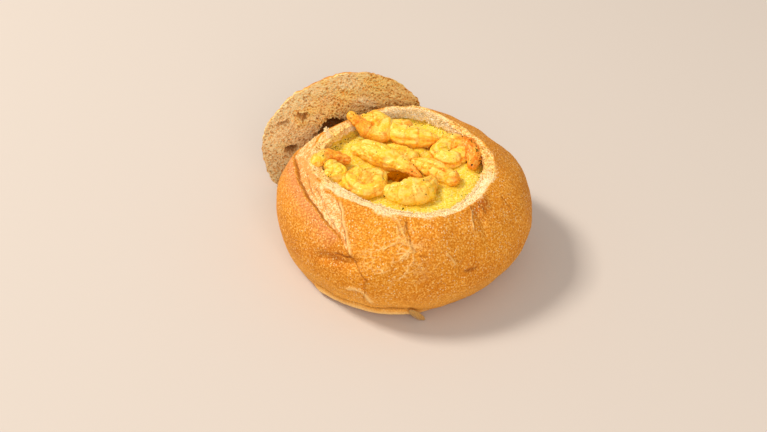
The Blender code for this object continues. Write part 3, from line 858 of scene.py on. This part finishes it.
def bread_grid(theta):
    """Rows of points up the crust, over the torn rim and down the hollow, without relief."""
    climbs = np.linspace(0, 1, CRUST_ROWS)[:, None]
    crust = bare_crust(theta[None] + 0 * climbs, climbs + 0 * theta[None])
    across = np.linspace(0, 1, RIM_ROWS + 1)[1:, None]
    outer, inner = rim_radius(theta)[None], crumb_edge(theta)[None]
    lip_height = crust[-1, :, 2][None] - CRUMB_DROP * across
    rim = ring(theta[None] + 0 * across, outer + (inner - outer) * across, lip_height)
    heights = [CURRY_LEVEL, *(h for h, _ in HOLLOW_ROWS)]
    outward = [CRUMB_LEAN, *(o for _, o in HOLLOW_ROWS)]
    seen = np.linspace(0, 1.25, WALL_ROWS - HIDDEN_ROWS)[1:]
    wall = []
    for step in (*seen, *np.linspace(1.5, 4, HIDDEN_ROWS)):
        reach = np.interp(step, range(5), [0, *outward])
        level = [np.interp(step, range(5), [top, *heights]) for top in lip_height[-1]]
        wall.append(ring(theta, inner[0] + reach, np.array(level)))
    return np.concatenate([crust, rim, np.array(wall)])


def crumb_marks(points, rows, crumb, walled, torn, rise):
    """Where the loaf's crumb is up from its pits, toasted or soaked, lit by painted light on its back wall,
    and darkened by painted shade in its hollow at the left.
    """
    inward = ease(rows, CRUST_ROWS + 6, CRUST_ROWS + RIM_ROWS)
    shaded = facing(points, 168, 0.62, 0.9) * (0.75 + 0.25 * inward)
    baked = facing(points, 75, 0.2, 0.7) * ease(rows, CRUST_ROWS + 15, CRUST_ROWS + 4)
    golden = 0.9 * facing(points, 22, 0.7, 0.92)
    toast = np.maximum(np.maximum(shaded, 0.85 * baked), golden)
    wet = CURRY_LEVEL + (1.3 + 1.6 * layered(points, 2.5 * MM, 55)) * MM
    hollow_shade = walled * facing(points, 188, 0.8, 0.97) * ease(torn, 0.6 * MM, -0.3 * MM)
    return {
        "crumb": crumb,
        "rise": 0.25 + 0.75 * rise - 0.2 * golden,
        "toast": toast * (0.4 + 0.6 * ease(layered(points, 4 * MM, 51), -0.6, 0.5)),
        "soak": crumb * ease(wet - points[:, 2], -0.6 * MM, 0.6 * MM),
        # Painted light on the back wall, which the key lamp leaves in shade
        "pale": walled * facing(points, 75, 0.3, 0.8),
        # Painted shade in the low pores of the hollow at the left
        "browned_and_shaded": 0.6 * hollow_shade * crumb,
    }


def make_bread(material):
    """The loaf: base, crust, torn rim and hollow as one closed skin."""
    grid = bread_grid(columns(COLUMNS))
    points, normals = grid.reshape(-1, 3), grid_normals(grid).reshape(-1, 3)
    rows = np.repeat(np.arange(len(grid)), COLUMNS)
    ragged = 4.5 * layered(points * [1, 1, 0], 7 * MM, 33, 4)
    crumb = ease(rows - CRUST_ROWS + ragged, -3, 3)
    walled = ease(rows, CRUST_ROWS + RIM_ROWS - 4, CRUST_ROWS + RIM_ROWS + 4)
    torn, rise = crumb_relief(points, PORE, 41)
    torn = (0.7 + 0.2 * walled) * torn + 0.8 * MM * layered(points, 5 * MM, 47, 2)
    relief, marks = crust_relief(points, normals)
    relief = relief * (1 - crumb) + torn * crumb
    climb = np.clip(rows / (CRUST_ROWS - 1), 0, 1)
    relief = relief * ease(climb, 0, 0.12)
    grid = (points + normals * relief[:, None]).reshape(grid.shape)
    grid[0, :, 2] = 0
    grid[..., 2] = np.maximum(grid[..., 2], 0)

    marks["foot"] = ease(25 * MM - points[:, 2], 0, 14 * MM)
    marks = {name: value * (1 - crumb) for name, value in marks.items()}
    inner = crumb_marks(points, rows, crumb, walled, torn, rise)
    inner["browned_and_shaded"] += marks["browned_and_shaded"]
    marks.update(inner)
    marks = {name: np.concatenate([[0], value, [0]]) for name, value in marks.items()}
    vertices, faces = closed_grid(grid, (0, 0, 0), (0, 0, FLOOR_HEIGHT))
    return mesh_object("dressed_loaf", vertices, faces, material, marks)


def lid_grid():
    """Rows of points from the middle of the cut face to its edge, and over the dome to its top."""
    theta = np.arange(LID_COLUMNS) * 2 * math.pi / LID_COLUMNS
    outline = LID_RADIUS * lobed(theta, LID_LOBES)
    outline = outline + 0.6 * MM * layered(ring(theta, outline, 0.0), 2.6 * MM, 105)
    face = [ring(theta, outline * s, 0.0) for s in np.linspace(0.006, 1, LID_FACE_ROWS)]
    flat, steep = LID_DOME_POWERS
    shares = np.cos(np.linspace(0, math.pi / 2, LID_DOME_ROWS + 2)[1:-1]) ** 0.8
    dome = [ring(theta, outline * s, -LID_DEPTH * (1 - s**flat) ** steep) for s in shares]
    return np.array(face + dome)


def lid_holes(points):
    """Depth of the torn holes in the cut face, and how much shade is painted in them."""
    pit, dark = np.zeros(len(points)), np.zeros(len(points))
    ragged = layered(points, 3.4 * MM, 117) * 0.24
    for right, up, half_width, half_height, depth, turn in LID_HOLES:
        x, y = points[:, 0] - right * MM, points[:, 1] - up * MM
        c, s = math.cos(math.radians(turn)), math.sin(math.radians(turn))
        across, along = (x * c + y * s) / (half_width * MM), (y * c - x * s) / (half_height * MM)
        inside = 1.02 - np.sqrt(across**2 + along**2) + ragged
        pit = np.maximum(pit, depth * MM * np.sqrt(np.clip(inside * 1.6, 0, 1)))
        # Painted shade in the holes, deeper holes darker
        dark = np.maximum(dark, min(1.0, 0.14 * depth) * ease(inside, 0.0, 0.3))
    return pit, dark


def stand_lid(points):
    """Flattens the lid's points where it stands, and moves them and its two middle points there."""
    stand = (
        Matrix.Translation(LID_CENTRE)
        @ Matrix.Rotation(math.radians(LID_TURN), 4, "Z")
        @ Matrix.Rotation(math.radians(90 + LID_LEAN), 4, "X")
    )
    turn = np.array(stand)
    floor_line = (points[:, 2] * -turn[2, 2] - turn[2, 3]) / turn[2, 1]
    points[:, 1] = np.maximum(points[:, 1], floor_line)
    middle = np.array([[0, 0, points[0, 2]], [0, 0, points[-1, 2]]])
    return [(turn[:3, :3] @ p.T).T + turn[:3, 3] for p in (points, middle)]


def make_lid(material):
    """The cut-off top: a torn, toasted cut face in front with painted shade in its pores and holes and
    painted light on its left side, and a crusty dome behind.
    """
    grid = lid_grid()
    points = grid.reshape(-1, 3)
    rows = np.repeat(np.arange(len(grid)), LID_COLUMNS)
    on_face = rows < LID_FACE_ROWS
    crumb = ease(LID_FACE_ROWS + 2 - rows + 2.5 * layered(points, 5 * MM, 108), -2, 3)
    torn, rise = crumb_relief(points, PORE, 111)
    torn = 1.8 * torn + 0.6 * MM * layered(points, 5 * MM, 115, 2)
    pit, dark = lid_holes(points)
    pit = np.where(on_face, pit, 0)
    near_edge = ease(rows, LID_FACE_ROWS - 6, LID_FACE_ROWS - 1)
    height = crumb * (1 - near_edge) * (torn - pit) * on_face + 0.7 * MM * noise(points, 11 * MM, 21)
    crusty = 0.15 * MM * layered(points, 2.2 * MM, 121) + 0.9 * MM * layered(points, 9 * MM, 125, 2)
    points = lift(points, height - np.where(on_face, 0, 1) * crusty)
    placed, middle = stand_lid(points)

    rim_baked = ease(rows, LID_FACE_ROWS - 16, LID_FACE_ROWS + 2) * on_face
    domed = 0.7 * (~on_face) * ease(layered(points, 16 * MM, 127), -0.2, 0.9)
    toward_key_lamp = layered(points, 9 * MM, 135) - points[:, 0] / (40 * MM)
    marks = {
        "crumb": crumb,
        # Pits and holes get painted shade, raised strands a painted highlight
        "rise": (0.08 + 1.04 * rise) * (1 - 0.5 * ease(pit, 0.5 * MM, 3 * MM)),
        "toast": 0.62 + 0.3 * ease(layered(points, 14 * MM, 131, 2), -0.6, 0.8),
        # Painted shade in the holes, with the baked rim and the browner dome
        "browned_and_shaded": np.clip(dark * on_face + 0.1 * rim_baked + domed, 0, 1),
        # Painted light on the side of the face towards the key lamp
        "pale": 0.3 * ease(toward_key_lamp, -0.6, 0.9) * on_face,
    }
    marks = {name: np.concatenate([[value[0]], value, [value[-1]]]) for name, value in marks.items()}
    vertices, faces = closed_grid(placed.reshape(grid.shape), *middle)
    return mesh_object("dressed_lid", vertices, faces, material, marks)


def smooth_through(stations, count):
    """Rows of a smooth curve through the stations, evenly spread between its ends."""
    points = np.array(stations, float)
    points = np.vstack([2 * points[0] - points[1], points, 2 * points[-1] - points[-2]])
    spans = np.minimum(np.linspace(0, len(stations) - 1, 12 * count), len(stations) - 1 - 1e-6)
    first = spans.astype(int)
    t = (spans - first)[:, None]
    a, b, c, d = (points[first + k] for k in range(4))
    curve = b + 0.5 * t * (c - a + t * (2 * a - 5 * b + 4 * c - d + t * (3 * (b - c) + d - a)))
    steps = np.linalg.norm(np.diff(curve[:, :3], axis=0), axis=1)
    run = np.concatenate([[0], np.cumsum(steps)])
    even = np.linspace(0, run[-1], count)
    return even, np.stack([np.interp(even, run, column) for column in curve.T], -1)


def beyond(end, before):
    """A station half a thickness past an end, away from the station before it."""
    step = end - before
    past = end + step * (end[3] / 2 / np.linalg.norm(step[:3]))
    past[3] = end[3]
    return past


def shrimp_tube(stations):
    """Centre line, sides, tops, radii and ring points of a shrimp's body with rounded ends."""
    ends = [np.array(stations[k], float) for k in (0, 1, -2, -1)]
    head, tail = beyond(ends[0], ends[1]), beyond(ends[3], ends[2])
    run, rows = smooth_through((head, *stations, tail), SHRIMP_RINGS + 2)
    rows[:, :3] *= MM
    run, thickness = run * MM, rows[:, 3] * MM
    to_end = np.minimum(run, run[-1] - run) / (thickness / 2)
    blunt = np.sqrt(1 - (1 - np.clip(to_end, 0, 1)) ** 2)
    phase = (run / run[-1] * SEGMENTS) % 1
    radius = thickness / 2 * blunt * (1 + SEGMENT_STEP * (0.5 - phase))
    along = np.gradient(rows[:, :3], axis=0)
    along /= np.linalg.norm(along, axis=1, keepdims=True)
    side = np.cross(along, (0, 0, 1))
    side /= np.linalg.norm(side, axis=1, keepdims=True)
    top = np.cross(side, along)
    spin = np.arange(SHRIMP_SIDES) * 2 * math.pi / SHRIMP_SIDES
    outward = np.cos(spin)[None, :, None] * side[:, None] + np.sin(spin)[None, :, None] * top[:, None]
    points = rows[:, None, :3] + radius[:, None, None] * outward
    return rows[:, :3], side, top, radius, points


def even_skin(body):
    """Bakes an even, softened skin into a body's mesh."""
    skin = body.modifiers.new("skin", "REMESH")
    skin.mode = "VOXEL"
    skin.voxel_size = SHRIMP_SKIN
    soften = body.modifiers.new("soften", "SMOOTH")
    soften.iterations = 4
    depsgraph = bpy.context.evaluated_depsgraph_get()
    body.data = bpy.data.meshes.new_from_object(body.evaluated_get(depsgraph))
    body.modifiers.clear()


def outer_side(centre, side):
    """+1 or -1: on which side of its centre line a shrimp's back lies, away from its curl."""
    middle = centre.mean(axis=0)
    return 1.0 if ((centre - middle) * side).sum() > 0 else -1.0


def drift(share, number, seed):
    """Noise along a shrimp of a number, or along its twin with the number below 0."""
    return noise(np.stack([share, 0 * share, 0 * share + number], -1), 1.0, seed)


def flesh_relief(number, spots, share, angle):
    """A shrimp's relief in mm, its streaks, and its bands and pale plates."""
    warmth, _, plate_height, groove_middle, _ = LOOKS[number - 1]
    groove_at = groove_middle + 12 * drift(share * 3, number, 138)
    phase = (share * SEGMENTS + 0.18 * np.cos(np.radians(angle - 40))) % 1
    plate = ease(phase, 0.0, 0.16) * (1 - 0.6 * phase)
    broken = ease(drift(share * 6, -number, 139), -0.5, 0.3)
    groove = bell(angle - groove_at, 8) * broken
    lips = bell(np.abs(angle - groove_at) - 18, 9) * broken
    belly = ease(angle, 95, 150)
    streaks = layered(np.stack([share * 14, angle / 16, 0 * angle + number], -1), 1.0, 140 + number, 3)
    lumps = 0.55 * layered(spots, 6 * MM, 150 + number, 2) + 0.2 * layered(spots, 1.8 * MM, 170 + number, 2)
    body = ease(share, 0.04, 0.14) * ease(share, 0.97, 0.85)
    relief = lumps + body * (plate_height * (plate - 0.5) - 0.6 * groove + 0.25 * lips)
    relief += body * 0.2 * streaks * (1 + 2.5 * belly)
    joint = bell(phase - 0.06, 0.07) * body
    banded = 0.9 * groove + 0.7 * joint + (0.5 + 0.5 * belly) * ease(streaks, 0, 0.6)
    return relief, streaks, {
        "band": warmth * np.clip(banded, 0, 1),
        "pale": np.clip(plate * (1 - groove) * ease(streaks, 0.5, -0.4), 0, 1),
    }


def make_shrimp(number, stations, material):
    """A curled shrimp: overlapping plates, a groove down the back, ragged belly and clinging sauce."""
    centre, side, top, radius, points = shrimp_tube(stations)
    vertices, faces = closed_grid(points[1:-1], centre[0], centre[-1])
    shrimp = mesh_object(f"dressed_shrimp_{number:02}", vertices, faces, material)
    even_skin(shrimp)
    mesh = shrimp.data
    spots, normals = surface_of(mesh)
    index, _ = nearest(spots + wobble(spots, 4 * MM, 130) * 0.7 * MM, centre)
    share = index / (len(centre) - 1)
    offset = spots - centre[index]
    sideways = outer_side(centre, side) * (offset * side[index]).sum(axis=1)
    angle = np.degrees(np.arctan2((offset * top[index]).sum(axis=1), sideways))
    relief, streaks, marks = flesh_relief(number, spots, share, angle)
    relief *= np.clip(radius[index] / (5 * MM), 0.3, 1)
    spots = spots + normals * relief[:, None] * MM
    mesh.vertices.foreach_set("co", spots.ravel())

    _, tail_start, _, _, redness = LOOKS[number - 1]
    patch = layered(spots, 5 * MM, 190 + number, 3)
    low = ease(CURRY_LEVEL + (2.0 + 1.8 * patch) * MM - spots[:, 2], -0.6 * MM, 1.0 * MM)
    tail = ease(share + 0.06 * patch, tail_start - 0.05, tail_start + 0.08)
    marks["tail"] = redness * tail * np.clip(0.8 + 0.4 * streaks, 0, 1)
    marks["sauced"] = np.clip(low + 0.85 * ease(patch, 0.2, 0.55) * (1 - 0.8 * tail), 0, 1)
    # Painted shade where the skin faces down
    marks["under"] = ease(0.25 - normals[:, 2], 0, 0.7)
    set_marks(mesh, marks)
    mesh.shade_smooth()
    return shrimp


def beside_shrimps(points, shrimps):
    """The distance to the nearest shrimp, and how far to its lee side each point lies."""
    reach, lee = np.full(len(points), 9.0), np.zeros(len(points))
    for body in shrimps:
        tree = tree_of(body)
        corners = np.array(body.bound_box)
        low, high = corners.min(axis=0) - SHRIMP_NEAR, corners.max(axis=0) + SHRIMP_NEAR
        inside = (points[:, :2] > low[:2]) & (points[:, :2] < high[:2])
        for k in np.nonzero(inside.all(axis=1))[0]:
            spot, _, _, gap = tree.find_nearest(Vector(points[k]), SHRIMP_NEAR)
            if spot is not None and gap < reach[k]:
                reach[k] = gap
                away = points[k, :2] - np.array(spot)[:2]
                lee[k] = away @ LEE_WAY / max(np.linalg.norm(away), 1e-6)
    return reach, lee


def round_pool(points, x, y, half_width):
    """1 at a place on the sauce, falling off around it; all in mm."""
    return bell(np.hypot(points[:, 0] - x * MM, points[:, 1] - y * MM), half_width * MM)


def make_curry(material, shrimps):
    """The sauce: waves and grains on top, drawn up where it meets shrimps and crumb."""
    theta = columns(CURRY_COLUMNS)
    edge = crumb_edge(theta) + CRUMB_LEAN
    shares = np.linspace(0.01, 1, CURRY_ROWS)[::-1]
    surface = np.array([ring(theta, edge * s + 0.5 * MM * (s > 0.995), CURRY_LEVEL) for s in shares])
    flat = surface.reshape(-1, 3)
    height = CURRY_WAVE * noise(flat, 9 * MM, 11) + 0.4 * MM * layered(flat, 2.8 * MM, 201)
    for x, y, rise, half_width in MOUNDS:
        height += rise * MM * round_pool(flat, x, y, half_width)
    reach, lee = beside_shrimps(lift(flat, height), shrimps)
    to_edge = (1 - np.repeat(shares, CURRY_COLUMNS)) * RIM_RADIUS
    height += 0.7 * MM * bell(reach, 1.2 * MM) + 0.5 * MM * bell(to_edge, 1.2 * MM)
    flat = lift(flat, height)
    wall = [
        ring(theta, crumb_edge(theta) + outward - 0.6 * MM, level + 0.3 * MM)
        for level, outward in reversed(HOLLOW_ROWS)
    ]
    grid = np.concatenate([np.array(wall), flat.reshape(surface.shape)])
    vertices, faces = closed_grid(grid, (0, 0, FLOOR_HEIGHT + 0.6 * MM), (0, 0, flat[-1, 2]))
    # Painted shade, dark orange-brown, in the gaps between shrimps
    gap_shade = np.zeros(len(flat))
    for x, y, half_width in SHADED_GAPS:
        gap_shade = np.maximum(gap_shade, round_pool(flat, x, y, half_width))
    # Painted shadow beside each shrimp, on its side away from the key lamp
    lee_shadow = bell(reach, 1.5 * MM) * ease(lee, -0.1, 0.7)
    below = np.zeros(1 + len(wall) * CURRY_COLUMNS)
    marks = {"shade": np.exp(-reach / (1.8 * MM)), "lee_shadow": lee_shadow, "gap_shade": gap_shade}
    marks = {name: np.concatenate([below, value, [0]]) for name, value in marks.items()}
    return mesh_object("dressed_curry", vertices, faces, material, marks)


def flecks(name, material, places, normals, shape, lean, seed):
    """Small ragged grains at places; shape is their mean half length, half width and half thickness."""
    random = np.random.default_rng(seed)
    ball, sides = round_ball(1)
    count = len(places)
    up = normals + lean * random.normal(size=(count, 3))
    up /= np.linalg.norm(up, axis=1, keepdims=True)
    across = np.cross(up, random.normal(size=(count, 3)))
    across /= np.linalg.norm(across, axis=1, keepdims=True)
    frames = np.stack([across, np.cross(up, across), up], 1)
    size = random.uniform(0.45, 1.6, (count, 1, 3)) * np.array(shape)
    grains = ball[None] * random.uniform(0.6, 1.2, (count, len(ball), 1)) * size
    vertices = np.einsum("gvk,gkx->gvx", grains, frames) + places[:, None]
    faces = sides[None] + len(ball) * np.arange(count)[:, None, None]
    made = mesh_object(name, vertices.reshape(-1, 3), faces.reshape(-1, 3).tolist(), material)
    made.data.shade_flat()
    return made


def dropped(targets, count, seed, ring_share=(0.0, 1.0)):
    """Random places on what lies uppermost in the hollow, with the surface's normals."""
    random = np.random.default_rng(seed)
    trees = [tree_of(t) for t in targets]
    places, normals = [], []
    for _ in range(count):
        theta = np.array([random.random() * 2 * math.pi])
        low, high = ring_share
        share = math.sqrt(random.uniform(low**2, high**2))
        x, y, _ = ring(theta, crumb_edge(theta) * share, 0.0)[0]
        hits = [t.ray_cast(Vector((x, y, 0.2)), Vector((0, 0, -1))) for t in trees]
        hits = [h for h in hits if h[0] is not None]
        place, normal = max(hits, key=lambda h: h[0].z)[:2]
        places.append(place)
        normals.append(normal)
    return np.array(places), np.array(normals)


def on_crumb(loaf, count, seed, toasted):
    """Random places on the pale or the toasted crumb above the sauce, with the surface's normals."""
    mesh = loaf.data
    values = {}
    for mark in ("crumb", "soak", "toast"):
        values[mark] = np.zeros(len(mesh.vertices), np.float32)
        mesh.attributes[mark].data.foreach_get("value", values[mark])
    spots, normals = surface_of(mesh)
    dry = (values["crumb"] > 0.5) & (values["soak"] < 0.3) & (spots[:, 2] > CURRY_LEVEL)
    dry &= (values["toast"] > 0.35) == toasted
    dry &= (spots[:, 2] > HOLLOW_TOP) | (spots[:, 0] > HOLLOW_SIDE)
    chosen = np.random.default_rng(seed).permutation(np.nonzero(dry)[0])[:count]
    return spots[chosen], normals[chosen]


def along_edge(loaf, count, seed):
    """Random places along the crumb's inner edge, where it tears off over the sauce."""
    spots, normals = on_crumb(loaf, None, seed, False)
    theta = np.arctan2(spots[:, 1], spots[:, 0])
    away = np.hypot(spots[:, 0], spots[:, 1]) - crumb_edge(theta)
    close = np.nonzero(np.abs(away) < 1.0 * MM)[0][:count]
    inward = ring(theta[close], -EDGE_REACH, EDGE_REACH / 2)
    return spots[close] + inward, normals[close]


def torn_flake():
    """Places and directions along the flake of crumb that stands up from the rim at the left back."""
    steps = np.linspace(0, 1, FLAKE_SHREDS)[:, None]
    random = np.random.default_rng(17)
    line = np.array(FLAKE_FOOT) + (np.array(FLAKE_TIP) - FLAKE_FOOT) * steps
    spread = (1 - 0.5 * steps) * FLAKE_SPREAD * random.normal(size=(FLAKE_SHREDS, 3))
    return line + spread, np.repeat([FLAKE_FACE], FLAKE_SHREDS, axis=0)


def make_scrap(material):
    """The scrap of cooked onion at the loaf's foot: a ribbed, ragged flake."""
    points, sides = round_ball(5)
    lump = 1 + 0.10 * noise(points, 0.9, 31) + 0.05 * layered(points, 0.4, 32, 2)
    points = points * lump[:, None]
    points[:, 1] *= 1 + 0.15 * np.cos(points[:, 0] * 9)
    lean = Matrix.Rotation(math.radians(SCRAP_LEAN), 3, "X")
    turn = np.array(lean @ Matrix.Rotation(math.radians(SCRAP_TURN), 3, "Y"))
    placed = (points * SCRAP_SIZE) @ turn.T
    placed += (*SCRAP_PLACE, -placed[:, 2].min())
    return mesh_object("dressed_scrap", placed, sides.tolist(), material)


def belongs(piece, slot, *nodes):
    """Attaches a piece to the root and hides the CAD nodes it stands for; slot is not used."""
    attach(piece, "root")
    if nodes:
        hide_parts(*nodes)


def make_floor():
    """A plain pale floor."""
    mesh = bpy.data.meshes.new("floor")
    reach = FLOOR_REACH
    corners = [(-reach, -reach, 0), (reach, -reach, 0), (reach, reach, 0), (-reach, reach, 0)]
    mesh.from_pydata(corners, [], [(0, 1, 2, 3)])
    mesh.materials.append(Paint("floor", (204, 192, 182), 0.9).finish(Specular_IOR_Level=0.1))
    floor = add_object("floor", mesh)
    floor.location.z = cad_bounds[0].z


def aim_at(thing, target):
    """Turns a lamp or a camera towards a point."""
    thing.rotation_euler = (Vector(target) - thing.location).to_track_quat("-Z", "Y").to_euler()


def make_lights():
    """Soft lamps and a soft light from all round."""
    for name, place, size, power, color in LIGHTS:
        light = bpy.data.lights.new(name, "AREA")
        light.size = size
        light.energy = power
        light.color = linear(color)[:3]
        lamp = add_object(name, light)
        lamp.location = place
        aim_at(lamp, LIGHT_AIM)
    world = bpy.data.worlds.new("world")
    world.use_nodes = True
    background = world.node_tree.nodes["Background"]
    background.inputs["Color"].default_value = linear(WORLD_COLOR)
    background.inputs["Strength"].default_value = WORLD_STRENGTH
    bpy.context.scene.world = world


def make_camera():
    """A camera in front of the loaf that looks down on it."""
    camera = bpy.data.cameras.new("camera")
    camera.lens = CAMERA_LENS
    camera.sensor_width = CAMERA_SENSOR
    eye = add_object("camera", camera)
    elevation = math.radians(CAMERA_ELEVATION)
    back = Vector((0, -math.cos(elevation), math.sin(elevation)))
    eye.location = Vector(CAMERA_AIM) + back * CAMERA_DISTANCE
    eye.rotation_euler = (-back).to_track_quat("-Z", "Y").to_euler()
    bpy.context.scene.camera = eye
    bpy.context.scene.view_settings.view_transform = "Standard"


bread = bread_material()
flesh = shrimp_material()
# The sunken shrimp's flesh is painted dark orange-brown as the shade between the others
shadowed_flesh = plain_material("shadowed_flesh", (156, 82, 0), 0.7, Specular_IOR_Level=0.0)
pale_crumb = plain_material("pale_crumb", (255, 226, 172), 0.7)
toasted_crumb = plain_material("toasted_crumb", (234, 172, 96), 0.7)
pepper = plain_material("pepper", (38, 24, 10), 0.6, Specular_IOR_Level=0.1)
herb = plain_material("herb", (104, 88, 14), 0.6, Specular_IOR_Level=0.1)
pulp = plain_material("pulp", (252, 214, 92), 0.35)
onion = plain_material("onion", (226, 172, 84), 0.3, Transmission_Weight=0.35, Coat_Weight=0.5)

loaf = make_bread(bread)
belongs(loaf, "crust", "bread_bowl")
belongs(make_lid(bread), "crumb", "bread_lid")
shrimps = []
for number, stations in enumerate(SHRIMPS, 1):
    shrimp = make_shrimp(number, stations, shadowed_flesh if number in SUNKEN else flesh)
    belongs(shrimp, "shrimp_flesh", f"shrimp_{number:02}")
    shrimps.append(shrimp)
curry = make_curry(sauce_material(), shrimps)
belongs(curry, "curry_sauce", "curry")
inside = [curry, *shrimps]
# Scattered things: name, material, places, half sizes in mm, how unevenly they lean, seed, slot
for name, material, places, shape, lean, seed, slot in (
    ("crumb_shreds", pale_crumb, on_crumb(loaf, 2200, 21, False), (0.55, 0.22, 0.16), 1.2, 12, "crumb"),
    ("brown_shreds", toasted_crumb, on_crumb(loaf, 1100, 22, True), (0.5, 0.22, 0.16), 1.2, 12, "crumb"),
    ("edge_shreds", pale_crumb, along_edge(loaf, 1500, 23), (1.1, 0.32, 0.22), 1.5, 11, "crumb"),
    ("torn_flake", pale_crumb, torn_flake(), (0.9, 0.6, 0.35), 0.6, 10, "crumb"),
    ("pepper", pepper, dropped(inside, 42, 5), (0.62, 0.45, 0.3), 0.2, 6, "curry_sauce"),
    ("herbs", herb, dropped(inside, 90, 6), (0.42, 0.24, 0.14), 0.2, 5, "curry_sauce"),
    ("edge_herbs", herb, dropped(inside, 240, 7, (0.95, 0.99)), (0.6, 0.36, 0.24), 0.4, 10, "curry_sauce"),
    ("pulp", pulp, dropped([curry], 800, 8), (0.5, 0.32, 0.22), 0.3, 4, "curry_sauce"),
):
    belongs(flecks(name, material, *places, np.array(shape) * MM, lean, seed), slot)
belongs(make_scrap(onion), "onion", "onion_scrap")
make_floor()
make_lights()
make_camera()
